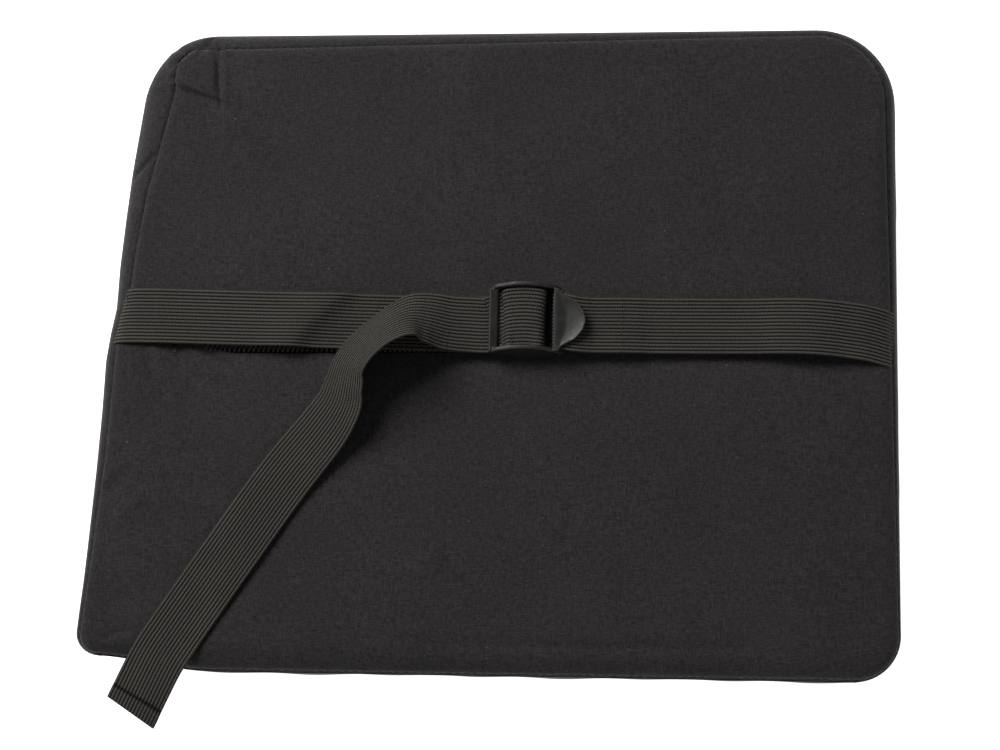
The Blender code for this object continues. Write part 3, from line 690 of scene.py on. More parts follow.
def creased(x, y):
    """Height that the creases and folds add here."""
    height = np.zeros(np.shape(x))
    for line, depth, width in CREASES:
        away, _, share = to_line(x, y, line)
        height -= depth * line_taper(share) * np.exp(-(away / width) ** 2)
    for line, rise, reach in FOLDS:
        away, side, share = to_line(x, y, line)
        inside = np.exp(-away / reach)
        outside = np.exp(-(away / FOLD_EDGE) ** 2)
        height += rise * line_taper(share) * np.where(side < 0, inside, outside)
    return height


def undulation(x, y):
    """The slack cloth's slow waves over the foam."""
    waves = ((31.0, 12.0, 0.4, 0.00022), (-18.0, 37.0, 1.9, 0.00018), (64.0, 29.0, 3.1, 0.00011),
             (22.0, -71.0, 0.9, 0.00009), (110.0, 55.0, 5.0, 0.00004), (-75.0, 120.0, 2.2, 0.00004))
    return sum(size * np.sin(a * x * 2 + b * y * 2 + turn) for a, b, turn, size in waves)


# Geometry Nodes

def node_tree(name, inputs):
    """A Geometry Nodes tree with named inputs; returns it, its input node and a maker of linked nodes."""
    tree = bpy.data.node_groups.new(name, "GeometryNodeTree")
    tree.interface.new_socket("Geometry", in_out="INPUT", socket_type="NodeSocketGeometry")
    for label, kind in inputs:
        tree.interface.new_socket(label, in_out="INPUT", socket_type=kind)
    tree.interface.new_socket("Geometry", in_out="OUTPUT", socket_type="NodeSocketGeometry")
    return tree, tree.nodes.new("NodeGroupInput"), partial(add_node, tree)


def end_tree(tree, start, node, geometry):
    """Ends a tree in Realize Instances and Set Material."""
    real = node("GeometryNodeRealizeInstances", {"Geometry": geometry})
    material = start.outputs["Material"]
    finished = node("GeometryNodeSetMaterial", {"Geometry": real.outputs[0], "Material": material})
    end = node("NodeGroupOutput")
    tree.links.new(finished.outputs[0], end.inputs["Geometry"])


def stitch_tree():
    """Stitches, evenly spaced along the edges of a mesh."""
    found = bpy.data.node_groups.get("cushion_stitches")
    if found:
        return found
    tree, start, node = node_tree("cushion_stitches", [
        ("Pitch", "NodeSocketFloat"), ("Stitch Length", "NodeSocketFloat"),
        ("Thread Radius", "NodeSocketFloat"), ("Material", "NodeSocketMaterial"),
    ])
    path = node("GeometryNodeMeshToCurve", {"Mesh": start.outputs["Geometry"]})
    points = node("GeometryNodeCurveToPoints", {"Curve": path.outputs[0], "Length": start.outputs["Pitch"]},
                  mode="LENGTH")
    bead = node("GeometryNodeMeshUVSphere", {"Segments": 6, "Rings": 5, "Radius": 1.0})
    half = node("ShaderNodeMath", {0: start.outputs["Stitch Length"], 1: 0.5}, operation="MULTIPLY")
    radius = start.outputs["Thread Radius"]
    size = node("ShaderNodeCombineXYZ", {"X": radius, "Y": radius, "Z": half.outputs[0]})
    placed = node("GeometryNodeInstanceOnPoints", {
        "Points": points.outputs["Points"], "Instance": bead.outputs["Mesh"],
        "Rotation": points.outputs["Rotation"], "Scale": size.outputs[0],
    })
    end_tree(tree, start, node, placed.outputs[0])
    return tree


def coil_tree():
    """A flattened coil of monofilament along X: one side of the zip."""
    found = bpy.data.node_groups.get("cushion_zip_coil")
    if found:
        return found
    tree, start, node = node_tree("cushion_zip_coil", [
        ("Length", "NodeSocketFloat"), ("Pitch", "NodeSocketFloat"), ("Width", "NodeSocketFloat"),
        ("Height", "NodeSocketFloat"), ("Wire Radius", "NodeSocketFloat"), ("Middle", "NodeSocketVector"),
        ("Turn", "NodeSocketFloat"), ("Material", "NodeSocketMaterial"),
    ])
    given = start.outputs
    turns = node("ShaderNodeMath", {0: given["Length"], 1: given["Pitch"]}, operation="DIVIDE")
    spiral = node("GeometryNodeCurveSpiral", {
        "Resolution": 10, "Rotations": turns.outputs[0], "Start Radius": 0.5, "End Radius": 0.5,
        "Height": given["Length"],
    })
    turned = node("ShaderNodeCombineXYZ", {"Z": given["Turn"]})
    spun = node("GeometryNodeTransform", {"Geometry": spiral.outputs[0], "Rotation": turned.outputs[0]})
    flat = node("ShaderNodeCombineXYZ", {"X": given["Height"], "Y": given["Width"], "Z": 1.0})
    shaped = node("GeometryNodeTransform", {"Geometry": spun.outputs[0], "Scale": flat.outputs[0]})
    laid = node("GeometryNodeTransform", {
        "Geometry": shaped.outputs[0], "Rotation": (0.0, math.pi / 2, 0.0), "Translation": given["Middle"],
    })
    wire = node("GeometryNodeCurvePrimitiveCircle", {"Resolution": 6, "Radius": given["Wire Radius"]})
    tube = node("GeometryNodeCurveToMesh", {"Curve": laid.outputs[0], "Profile Curve": wire.outputs[0],
                                            "Fill Caps": True})
    end_tree(tree, start, node, tube.outputs[0])
    return tree


def grow(obj, tree, slot, values):
    """Runs a tree on the object and keeps its result as the object's plain mesh."""
    modifier = obj.modifiers.new(tree.name, "NODES")
    modifier.node_group = tree
    sockets = {s.name: s.identifier for s in tree.interface.items_tree if s.in_out == "INPUT"}
    modifier[sockets["Material"]] = material_for(slot)
    for label, value in values.items():
        modifier[sockets[label]] = value
    settle_modifiers(obj)
    if not len(obj.data.polygons):
        raise RuntimeError(f"{obj.name}: the tree {tree.name} made nothing")
    return obj


def stitches(name, points, closed=False, pitch=0.0038, length_of=0.0026, radius=0.00028, body="cushion"):
    """A line of stitches along points in the cushion's coordinates."""
    points = drawn_up(points) if closed else points
    obj = new_piece(name, points, [], "thread")
    count = len(points)
    edges = [(i, (i + 1) % count) for i in range(count if closed else count - 1)]
    obj.data.clear_geometry()
    obj.data.from_pydata((np.asarray(points) + np.array([HOME_X, HOME_Y, 0.0])).tolist(), edges, [])
    grow(obj, stitch_tree(), "thread", {"Pitch": pitch, "Stitch Length": length_of, "Thread Radius": radius})
    if body:
        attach(obj, body)
    return obj


# The cover

ZIP_EDGE = 0.0021            # the cloth's folded edge is this far from the zip's line
SLIDER_EDGE = 0.0044         # and this far beside the slider
EDGE_STEPS = np.array([0.0, 0.0004, 0.0009, 0.0015, 0.0023, 0.0033, 0.0046, 0.0062])
TUCK = 0.0014                # the seam allowance turns down this far
OPENS_LEFT = (-0.1320, -0.1180)     # the opening widens over this stretch at the zip's left end
SLIDER_SIDE = (0.1360, 0.1460)      # and widens again over this one before the slider
UNDER_STRAP = 0.0024         # the edges are pushed up this far under the strap's left end
# Spacings of the back panel's grid, finer where the cloth is creased: up to this far, this spacing.
COLUMNS = ((0.065, 0.0007), (1.0, 0.0021))
ROWS_UPPER = ((0.105, 0.0021), (1.0, 0.0008))
ROWS_LOWER = ((-0.122, 0.0012), (-0.036, 0.0021), (1.0, 0.0009))


def spaced(low, high, spacings):
    """Values from low to high, each stretch with its own spacing, and closer together at both ends."""
    start, end = low + EDGE_STEPS[-1], high - EDGE_STEPS[-1]
    parts = [low + EDGE_STEPS[:-1]]
    for limit, spacing in spacings:
        stop = min(limit, end)
        if stop > start:
            parts.append(np.linspace(start, stop, int((stop - start) / spacing) + 2)[:-1])
            start = stop
    parts += [[end], (high - EDGE_STEPS[:-1])[::-1]]
    return np.concatenate(parts)


def zip_opening(x):
    """Half the gap between the cloth's two edges along the zip; it closes past the zip's ends."""
    open_left = smooth(x, *OPENS_LEFT)
    open_right = 1 - smooth(x, ZIP_RIGHT + 0.001, ZIP_RIGHT + 0.006)
    beside_slider = smooth(x, *SLIDER_SIDE)
    return 0.0002 + (ZIP_EDGE + (SLIDER_EDGE - ZIP_EDGE) * beside_slider) * open_left * open_right


def seam_sides(outline, share):
    """The left and right ends of a row of the back panel, this share of the way up, round its corners."""
    corners = outline.seam_corners()
    ends = []
    for side, (low_corner, high_corner) in ((-1, (0, 3)), (1, (1, 2))):
        low, high = corners[low_corner], corners[high_corner]
        x, y = low + (high - low) * share
        for corner, sign in ((low_corner, 1), (high_corner, -1)):
            radius = SEAM_RADII[corner]
            into = radius - (y - corners[corner][1]) * sign
            if into > 0:
                x -= side * (radius - math.sqrt(max(radius**2 - min(into, radius)**2, 0.0)))
        ends.append(x)
    return ends


def back_grid(outline, half_of):
    """Grid of points, without height, of the back panel above (+1) or below (-1) the zip."""
    corners = outline.seam_corners()
    low, high = corners[0][1], (corners[2][1] + corners[3][1]) / 2
    if half_of > 0:
        rows = spaced(ZIP_LINE, high, ROWS_UPPER)
    else:
        rows = spaced(low, ZIP_LINE, ROWS_LOWER)
    lines = []
    tilt = (corners[2][1] - corners[3][1]) / (corners[2][0] - corners[3][0])
    middle = (corners[2][0] + corners[3][0]) / 2
    columns = spaced(0.0, corners[1][0] - corners[0][0], COLUMNS)
    share = columns / columns[-1]
    for y in rows:
        left, right = seam_sides(outline, (y - low) / (high - low))
        x = left + columns + (right - left - columns[-1]) * smooth(share, 0.04, 0.96)
        x = np.where(share > 0.5, np.minimum(x, right), np.maximum(x, left))
        lift = (y - low) / (high - low) * tilt * (x - middle)
        lines.append(np.stack([x, np.full_like(x, y) + lift], axis=1))
    return np.array(lines)


def back_heights(outline, points, moved_x):
    """Height of the back's surface over its grid, whose x the strap has moved."""
    x, y = points[..., 0], points[..., 1]
    edge = np.clip(outline.edge_distance(x, y), 0.0, None)
    inner = smooth(edge, 0.0, 0.012)
    z = BACK - outline.edge_drop(x, y) + undulation(x, y) * inner + creased(moved_x, y)
    from_zip = np.abs(y - ZIP_LINE)
    along_zip = smooth(x, -0.1500, -0.1250) * (1 - smooth(x, ZIP_RIGHT - 0.002, ZIP_RIGHT + 0.012))
    return z - 0.0007 * along_zip * (1 - smooth(from_zip, ZIP_EDGE, 0.014)) - 0.0001


def open_zip_edge(points, half_of):
    """Moves a panel's rows near the zip back to the opening's edge."""
    x = points[..., 0]
    away = np.abs(points[..., 1] - ZIP_LINE)
    fading = 1 - smooth(away, 0.0, 0.030)
    under_strap = UNDER_STRAP * (1 - smooth(x, -0.1350, -0.1150))
    points[..., 1] += (half_of * zip_opening(x) + under_strap) * fading
    return points


def tucked(points, heights):
    """Adds a row and a column all round that turn down and under, as a seam allowance does."""
    grid = np.concatenate([points, heights[..., None]], axis=-1)

    def turned(edge, inner):
        inwards = unit(inner[..., :2] - edge[..., :2])
        mid, low = edge.copy(), edge.copy()
        mid[..., :2] += inwards * TUCK * 0.15
        mid[..., 2] -= TUCK * 0.55
        low[..., :2] += inwards * TUCK * 0.9
        low[..., 2] -= TUCK
        return mid, low

    mid, low = turned(grid[:, 0], grid[:, 3])
    mid_end, low_end = turned(grid[:, -1], grid[:, -4])
    grid = np.concatenate([low[:, None], mid[:, None], grid, mid_end[:, None], low_end[:, None]], axis=1)
    mid, low = turned(grid[0], grid[3])
    mid_end, low_end = turned(grid[-1], grid[-4])
    return np.concatenate([low[None], mid[None], grid, mid_end[None], low_end[None]], axis=0)


def make_back_panel(name, half_of, node):
    outline = Outline(bpy.context.scene.cushion_sizes)
    points = open_zip_edge(back_grid(outline, half_of), half_of)
    moved_x = outline.pulled(points[..., 0], points[..., 1])
    heights = back_heights(outline, points, moved_x)
    grid = tucked(np.stack([moved_x, points[..., 1]], axis=-1), heights)
    rows, columns = grid.shape[:2]
    panel = new_piece(name, grid.reshape(-1, 3), grid_faces(rows, columns), "cover_fabric", cover=True)
    thicken(panel, bpy.context.scene.cushion_sizes.cloth)
    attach(panel, "cushion")
    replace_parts(panel, node)
    return panel


def boxing_rings(outline, side_steps, levels):
    """Rings of the boxing strip, from the back seam over its widest line to the front seam."""
    straight, seam = outline.seam_loop(0.0, side_steps)
    widest = outline.side_loop(0.0, side_steps)
    front = outline.loop(outline.corners(), FRONT_INSET, side_steps)
    _, depth = outline.roll(straight[:, 0], straight[:, 1])
    seam_z = BACK - depth - 0.0002
    wide_z = outline.widest_z(widest[:, 1])
    front_z = outline.front_rise(front[:, 1]) + EDGE_RISE + FRONT_THICKNESS * 0.7
    rings = []
    centre_pull = unit(-seam)
    rings.append(with_height(seam + centre_pull * TUCK * 0.7, seam_z - TUCK))
    rings.append(with_height(seam + centre_pull * TUCK * 0.1, seam_z - TUCK * 0.35))
    for k in range(levels + 1):
        turn = math.pi / 2 * k / levels
        out, down = math.sin(turn) ** 0.85, 1 - math.cos(turn)
        xy = seam + (widest - seam) * out
        z = seam_z + (wide_z - seam_z) * down
        rings.append(with_height(xy, z))
    lower = max(levels, 4)
    for k in range(1, lower + 1):
        share = k / lower
        pinch = share**2.2
        xy = widest + (front - widest) * pinch
        z = wide_z + (front_z - wide_z) * share
        rings.append(with_height(xy, z))
    last = rings[-1].copy()
    last[:, :2] += centre_pull * TUCK * 0.8
    last[:, 2] -= TUCK * 0.3
    rings.append(last)
    return np.array(rings)


class CUSHION_OT_back(bpy.types.Operator):
    """Make the two halves of the back panel, above and below the zip"""

    bl_idname = "cushion.back"
    bl_label = "Back panel"

    def execute(self, context):
        make_back_panel("back_upper_cloth", 1, "back_panel_upper")
        make_back_panel("back_lower_cloth", -1, "back_panel_lower")
        return {"FINISHED"}


class CUSHION_OT_boxing(bpy.types.Operator):
    """Make the strip of cloth round the sides"""

    bl_idname = "cushion.boxing"
    bl_label = "Boxing strip"

    def execute(self, context):
        outline = Outline(context.scene.cushion_sizes)
        rings = boxing_rings(outline, 150, 13)
        x, y, z = rings[..., 0], rings[..., 1], rings[..., 2]
        upper = smooth(z, BACK - 0.020, BACK - 0.010)
        rings[..., 2] += creased(x, y) * upper
        bulge = 0.0006 * np.sin(x * 55 + z * 90) * np.sin(y * 48 - z * 70)
        bulge += 0.0003 * np.sin(x * 170 - y * 150)
        rings[..., :2] *= 1 + (bulge * (1 - upper) / 0.17)[..., None]
        levels, size = rings.shape[:2]
        faces = ring_faces(levels, size)
        strip = new_piece("boxing_cloth", rings.reshape(-1, 3), faces, "cover_fabric", cover=True)
        thicken(strip, context.scene.cushion_sizes.cloth)
        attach(strip, "cushion")
        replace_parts(strip, "boxing_strip")
        return {"FINISHED"}


RIM_SHARE = 0.28             # the outer share of the front that turns up to its seam


def rim_rise(share):
    """How far the front has turned up, this share of the way from its crest to its rim."""
    return EDGE_RISE * max(0.0, (share - (1 - RIM_SHARE)) / RIM_SHARE) ** 2.2


class CUSHION_OT_front(bpy.types.Operator):
    """Make the spacer-mesh front, curved to the spine"""

    bl_idname = "cushion.front"
    bl_label = "Front panel"

    def execute(self, context):
        outline = Outline(context.scene.cushion_sizes)
        loop = outline.loop(outline.corners(), FRONT_INSET, 60)
        crest = np.array([0.0, sum(CREST) / 2])
        shares = 1 - (1 - np.linspace(1.0, 0.0, 34)[:-1]) ** 1.15
        rings = []
        for share in (0.994,) + tuple(shares):
            xy = crest + (loop - crest) * share
            rings.append(with_height(xy, outline.front_rise(xy[:, 1]) + rim_rise(share)))
        rings = np.array(rings)
        rings[0, :, 2] += 0.0026
        levels, size = rings.shape[:2]
        points = np.concatenate([rings.reshape(-1, 3), [[crest[0], crest[1], 0.0]]])
        faces = ring_faces(levels, size)
        last, middle = (levels - 1) * size, levels * size
        faces += [(last + (k + 1) % size, last + k, middle) for k in range(size)]
        panel = new_piece("front_mesh_cloth", points, faces, "mesh_fabric", cover=True)
        thicken(panel, FRONT_THICKNESS)
        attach(panel, "cushion")
        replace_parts(panel, "front_panel")
        return {"FINISHED"}


FOAM_INSETS = (0.030, 0.018, 0.012, 0.008, 0.005, 0.003, 0.0016)      # of the rings on its back
FOAM_SHARES = (0.985, 0.95, 0.9, 0.84, 0.75, 0.62, 0.48, 0.3, 0.15)   # of the rings on its front
GROOVE_HALF = 0.0180         # half the width of the groove for the zip


class CUSHION_OT_foam(bpy.types.Operator):
    """Make the foam block inside the cover"""

    bl_idname = "cushion.foam"
    bl_label = "Foam block"

    def execute(self, context):
        outline = Outline(context.scene.cushion_sizes)
        steps = 24
        under_cloth = context.scene.cushion_sizes.cloth + 0.0012
        clear = 0.0022
        rings = []
        for inset in FOAM_INSETS:
            xy = outline.seam_loop(inset + clear, steps)[1]
            drop = outline.edge_drop(*outline.seam_loop(inset, steps)[0].T)
            rings.append(with_height(xy, BACK - under_cloth - drop))
        xy = outline.side_loop(clear, steps)
        rings.append(with_height(xy, outline.widest_z(xy[:, 1])))
        crest = np.array([0.0, sum(CREST) / 2])
        loop = outline.loop(outline.corners(), FRONT_INSET + 0.001, steps)
        for share in FOAM_SHARES:
            xy = crest + (loop - crest) * share
            z = outline.front_rise(xy[:, 1]) + rim_rise(share) + FRONT_THICKNESS + 0.0006
            rings.append(with_height(xy, z))
        rings = np.array(rings)
        levels, size = rings.shape[:2]
        faces = ring_faces(levels, size)
        faces += [tuple(range(size)), tuple(range(levels * size - 1, (levels - 1) * size - 1, -1))]
        block = new_piece("foam_block", rings.reshape(-1, 3), faces, "foam", cover=True)
        low = COIL_LOW - 0.0035
        groove = new_piece("foam_groove", [
            (x, y, z)
            for z in (low, BACK + 0.01)
            for y in (ZIP_LINE - GROOVE_HALF, ZIP_LINE + GROOVE_HALF)
            for x in (ZIP_LEFT - 0.012, ZIP_RIGHT + 0.012)
        ], [(0, 2, 3, 1), (4, 5, 7, 6), (0, 1, 5, 4), (2, 6, 7, 3), (0, 4, 6, 2), (1, 3, 7, 5)], "foam")
        cut = block.modifiers.new("zip_groove", "BOOLEAN")
        cut.operation = "DIFFERENCE"
        cut.object = groove
        settle_modifiers(block)
        bpy.data.objects.remove(groove)
        outward(block)
        block.data.polygons.foreach_set("use_smooth", [False] * len(block.data.polygons))
        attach(block, "cushion")
        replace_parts(block, "foam_core")
        return {"FINISHED"}


JOINT_Y = 0.0860             # the boxing strip's two ends are joined here, on the left


class CUSHION_OT_seams(bpy.types.Operator):
    """Sew the seams of the cover with rows of stitches"""

    bl_idname = "cushion.seams"
    bl_label = "Seams"

    def execute(self, context):
        outline = Outline(context.scene.cushion_sizes)
        pitch = context.scene.cushion_sizes.stitch_pitch
        straight, seam = outline.seam_loop(-0.0001, 60)
        _, depth = outline.roll(straight[:, 0], straight[:, 1])
        run = with_height(seam, BACK - depth + 0.0001)
        run[:, 2] += creased(run[:, 0], run[:, 1])
        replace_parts(stitches("back_seam_stitches", run, True, pitch), "back_seam_thread")
        loop = outline.loop(outline.corners(), FRONT_INSET - 0.0002, 60)
        z = outline.front_rise(loop[:, 1]) + EDGE_RISE + 0.0012
        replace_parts(stitches("front_seam_stitches", with_height(loop, z), True, pitch), "front_seam_thread")
        y = JOINT_Y
        x = float(outline.side_x(y, -1))
        low = float(outline.front_rise(y)) + EDGE_RISE + 0.003
        high = float(outline.widest_z(y))
        joint = [(x - 0.0002, y, high + 0.006), (x - 0.0004, y, high), (x + 0.0012, y, (low + high) / 2),
                 (x + 0.0030, y, low)]
        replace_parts(stitches("boxing_joint_stitches", even_run(joint, 0.002)[0], False, pitch),
                    "boxing_joint_thread")
        return {"FINISHED"}


# The zip

COIL_WIRE = 0.00036          # radius of the coil's monofilament
COIL_PITCH = 0.0022
COIL_REACH = 0.00055         # each coil reaches this far past its solid, towards the other


class CUSHION_OT_zip(bpy.types.Operator):
    """Make the zip's coils, and finish its tapes, slider, pull and stops"""

    bl_idname = "cushion.zip"
    bl_label = "Zip"

    def execute(self, context):
        middle_z = (COIL_TOP + COIL_LOW) / 2
        for name, side in (("upper", 1), ("lower", -1)):
            low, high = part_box(f"zip_coil_{name}")
            coil = new_piece(f"zip_coil_{name}_wire", [(0, 0, 0)], [], "zip_coil")
            grow(coil, coil_tree(), "zip_coil", {
                "Length": high[0] - low[0], "Pitch": COIL_PITCH,
                "Width": high[1] - low[1] - 2 * COIL_WIRE + 2 * COIL_REACH,
                "Height": COIL_TOP - COIL_LOW - 2 * COIL_WIRE, "Wire Radius": COIL_WIRE,
                "Middle": (low[0], (low[1] + high[1]) / 2 - side * COIL_REACH, middle_z),
                "Turn": 0.0 if side > 0 else math.pi,
            })
            outward(coil)
            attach(coil, "cushion")
            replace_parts(coil, f"zip_coil_{name}")
        finishes = {
            "zip_tape_upper": "zip_tape", "zip_tape_lower": "zip_tape", "zip_slider": "zip_metal",
            "zip_pull": "zip_metal", "zip_top_stop_upper": "zip_metal", "zip_top_stop_lower": "zip_metal",
            "zip_bottom_stop": "zip_metal",
        }
        for node, slot in finishes.items():
            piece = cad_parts[node]
            for holder in piece.material_slots:
                holder.material = material_for(slot)
        for name, side in (("upper", 1), ("lower", -1)):
            low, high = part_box(f"zip_seam_thread_{name}")
            y = (low[1] + high[1]) / 2 - HOME_Y
            z = (low[2] + high[2]) / 2
            run = np.array([(x, y, z) for x in np.arange(ZIP_LEFT - 0.002, ZIP_RIGHT + 0.002, 0.004)])
            made = stitches(f"zip_seam_stitches_{name}", run, pitch=0.0030, length_of=0.0022)
            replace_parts(made, f"zip_seam_thread_{name}")
        return {"FINISHED"}


# The strap

LAYER_GAP = 0.00035
SEWN_END = 0.0590            # the fixed part's folded end is sewn down here
STRAP_LEFT = 0.0122          # the strap's y at its left and right ends
STRAP_RIGHT = 0.0026
BAR_CLEAR = 0.0004
BUCKLE_LIFT = 0.0020         # the buckle sits this far up the back from the strap's course
HEM = 0.0065                 # length of the tail's doubled end
HEM_SEWN = 0.0055            # its stitches are this far from the end
STRAP_STITCH = {"pitch": 0.0024, "length_of": 0.0019, "radius": 0.00025}
HUMP = ((-0.0960, -0.0060), (-0.0860, 0.0080), (-0.0700, 0.0230))     # the left run's slack stands up here
HOLLOW = ((-0.0820, -0.0020), (-0.0700, 0.0010))
BARS = {"front": (0.0052, 0.0022), "centre": (0.0120, 0.0024), "rear": (0.0045, 0.0017)}    # width, height
NEAR_SLOT = 0.0038
FAR_SLOT = 0.0090
SPLIT_LEFT = -0.0200         # the strap is cut into separate pieces where it passes this x
# The tail: x, y, height above the panel, and how far its inner edge is rolled up, in degrees.
TAIL_ROUTE = [
    (-0.0036, 0.0076, 0.00445, 0), (-0.0120, 0.0078, 0.0046, 0), (-0.0209, 0.0082, 0.0062, 6),
    (-0.0305, 0.0096, 0.0104, 20), (-0.0390, 0.0094, 0.0142, 36), (-0.0491, 0.0042, 0.0156, 45),
    (-0.0585, -0.0035, 0.0142, 46), (-0.0645, -0.0115, 0.0118, 44), (-0.0668, -0.0200, 0.0096, 38),
    (-0.0695, -0.0290, 0.0068, 24), (-0.0775, -0.0405, 0.0036, 9), (-0.0955, -0.0633, 0.0016, 0),
    (-0.1202, -0.0994, 0.0013, 0), (-0.1390, -0.1275, 0.0014, 0), (-0.1468, -0.1400, 0.0019, 0),
    (-0.1524, -0.1515, 0.0018, 0), (-0.1583, -0.1640, 0.0006, 0),
]


def buckle_lift(x):
    """How far up the back the buckle pulls the strap, at this x."""
    return BUCKLE_LIFT * smooth(x, -0.0100, 0.0000) * (1 - smooth(x, 0.0250, 0.0370))


def strap_y(outline, x):
    """The height of the strap's middle up the back, at this x."""
    return strap_course(outline, x) + float(buckle_lift(x) * smooth(x, -0.0024, 0.0012))


def strap_course(outline, x):
    """The line the strap would keep to without the buckle."""
    if x < BUCKLE_LEFT:
        share = min(x / float(outline.seam_x(STRAP_LEFT, -1)), 1.0)
        return STRAP_MIDDLE + (STRAP_LEFT - STRAP_MIDDLE) * share
    share = min(x / float(outline.seam_x(STRAP_RIGHT, 1)), 1.0) ** 10
    return STRAP_MIDDLE + (STRAP_RIGHT - STRAP_MIDDLE) * share


def left_end(outline):
    """Where the strap meets the left seam."""
    return float(outline.pulled(outline.seam_x(STRAP_LEFT, -1), STRAP_LEFT))


def right_end(outline):
    """Where the strap meets the right seam."""
    return float(outline.seam_x(STRAP_RIGHT, 1))


def strap_levels(strap):
    """The middles of the two lowest layers, above the back panel."""
    first = strap.above + strap.thickness / 2
    return first, first + strap.thickness + LAYER_GAP


def buckle_bars(strap):
    """Each bar's left, right, bottom and top; the last two are above the back panel."""
    low, high = strap_levels(strap)
    room = strap.thickness / 2 + BAR_CLEAR
    x = BUCKLE_LEFT + BAR_CLEAR
    found = {}
    slots = (NEAR_SLOT, FAR_SLOT, 0.0)
    for (label, (width, tall)), level, after in zip(BARS.items(), (high, low, low), slots):
        found[label] = (x, x + width, level + room, level + room + tall)
        x += width + after
    return found


def turn_stations(strap, bar_end, side, under, over):
    """Pairs of x and height round one end of a bar, from over it to under it."""
    reach = strap.thickness / 2 + BAR_CLEAR + 0.0024
    middle, half = (over + under) / 2, (over - under) / 2
    angles = [math.pi * k / 6 for k in range(7)]
    centre = bar_end - side * 0.0012
    return [(centre + side * reach * math.sin(a), middle + half * math.cos(a)) for a in angles]


def ribbed_ribbon(name, run, strap, acrosses=None, lifts=None, folded=0.0, slant=0.0, spread=None):
    """A ribbed strap along a run of points (x, y, z). folded is the length of a doubled, hemmed end,
    slant is how much its first end leans, as x for each unit of y, and spread widens it point by point."""
    points = run[0][:, :3]
    travelled = run[1]
    along = unit(np.gradient(points, axis=0))
    across = np.tile([0.0, 1.0, 0.0], (len(points), 1)) if acrosses is None else acrosses
    across = unit(across - along * (across * along).sum(axis=1, keepdims=True))
    normal = np.cross(along, across)
    per_rib = 6
    count = strap.ribs * per_rib
    u = np.linspace(-0.5, 0.5, count + 1)
    in_rib = (np.arange(count + 1) % per_rib) / per_rib
    crest = np.sin(np.pi * in_rib) ** 0.8
    selvedge = smooth(0.5 - np.abs(u), 0.0, 0.03)
    half = np.full(len(points), strap.thickness / 2)
    light = np.ones(len(points))
    if folded:
        doubled = smooth(travelled, travelled[-1] - folded - 0.0008, travelled[-1] - folded)
        hem = travelled[-1] - folded
        sewn = np.exp(-((travelled - hem) / 0.0007) ** 2)
        half = half * (1 + 0.85 * doubled) * (1 - 0.6 * sewn)
        # Painted shade: a dark line across the ribs along the hem's stitched dip.
        light = 1 - 0.7 * sewn
    reach = half[:, None] - strap.groove * (1 - crest)[None, :]
    reach = reach * (0.55 + 0.45 * selvedge)[None, :]
    widths = strap.width * (np.ones(len(points)) if spread is None else spread)
    edge = (across * widths[:, None])[:, None, :] * u[None, :, None]
    base = points[:, None, :] + edge
    leaning = slant * (1 - smooth(travelled, 0.0, 0.030))
    base[..., 0] += leaning[:, None] * u[None, :] * strap.width
    if folded:
        ending = smooth(travelled, travelled[-1] - 0.012, travelled[-1])
        further = (0.0008 - 0.14 * strap.width * u)[None, :] * ending[:, None]
        base = base + along[:, None, :] * further[..., None]
    if lifts is not None:
        base = base + normal[:, None, :] * lifts(base[..., 0], base[..., 1])[..., None]
    top = base + normal[:, None, :] * reach[..., None]
    bottom = base - normal[:, None, :] * reach[..., None]
    section = np.concatenate([top, bottom[:, ::-1]], axis=1)
    rows, size = section.shape[:2]
    index = np.arange(rows * size).reshape(rows, size)
    after = np.roll(index, -1, axis=1)
    faces = np.stack([index[:-1], index[1:], after[1:], after[:-1]], axis=-1).reshape(-1, 4).tolist()
    for row, flip in ((0, False), (rows - 1, True)):
        for k in range(count):
            a, b = index[row, k], index[row, k + 1]
            c, d = index[row, size - 2 - k], index[row, size - 1 - k]
            faces.append((a, b, c, d) if flip else (d, c, b, a))
    rims = index[[0, -1]]
    # The rib value paints shade into the grooves: 0 in a groove, 1 on a crest; the strap's two edges get a
    # middle value.
    ribs = np.concatenate([crest, crest[::-1]])
    edges = np.abs(np.concatenate([u, u[::-1]])) > 0.495
    ribs = np.where(edges, 0.55, ribs)
    across_m = np.concatenate([u, u[::-1]]) * strap.width
    uv = np.stack(np.broadcast_arrays(across_m[None, :], travelled[:, None]), axis=-1).reshape(-1, 2)
    values = {"rib": np.outer(light, ribs).ravel()}
    piece = new_piece(name, section.reshape(-1, 3), faces, "elastic", uv, values)
    outward(piece)
    sharpen(piece, rims)
    return piece


def sharpen(piece, rims):
    """Marks the edges along these rings of points as sharp, so that an end doesn't shade its neighbours."""
    pairs = np.stack([rims, np.roll(rims, -1, axis=1)], axis=-1).reshape(-1, 2)
    wanted = {tuple(sorted(pair)) for pair in pairs.tolist()}
    sharp = [tuple(sorted(edge.vertices)) in wanted for edge in piece.data.edges]
    piece.data.attributes.new("sharp_edge", "BOOLEAN", "EDGE").data.foreach_set("value", sharp)


def ridge_lift(x, y):
    """The left run's slack: a soft diagonal hump before the tail, with a hollow at its lower edge."""
    away, side, share = to_line(x, y, HUMP)
    hump = 0.0024 * np.where(side > 0, np.exp(-(away / 0.012) ** 2), np.exp(-(away / 0.0055) ** 2))
    dip, _, _ = to_line(x, y, HOLLOW)
    return hump - 0.0007 * np.exp(-(dip / 0.006) ** 2)


def in_frame(outline, pairs):
    """Strap stations from pairs of x and height above the back."""
    return [(x, strap_y(outline, x), BACK + z) for x, z in pairs]


def cut_run(run, first, last):
    return run[0][first:last], run[1][first:last]


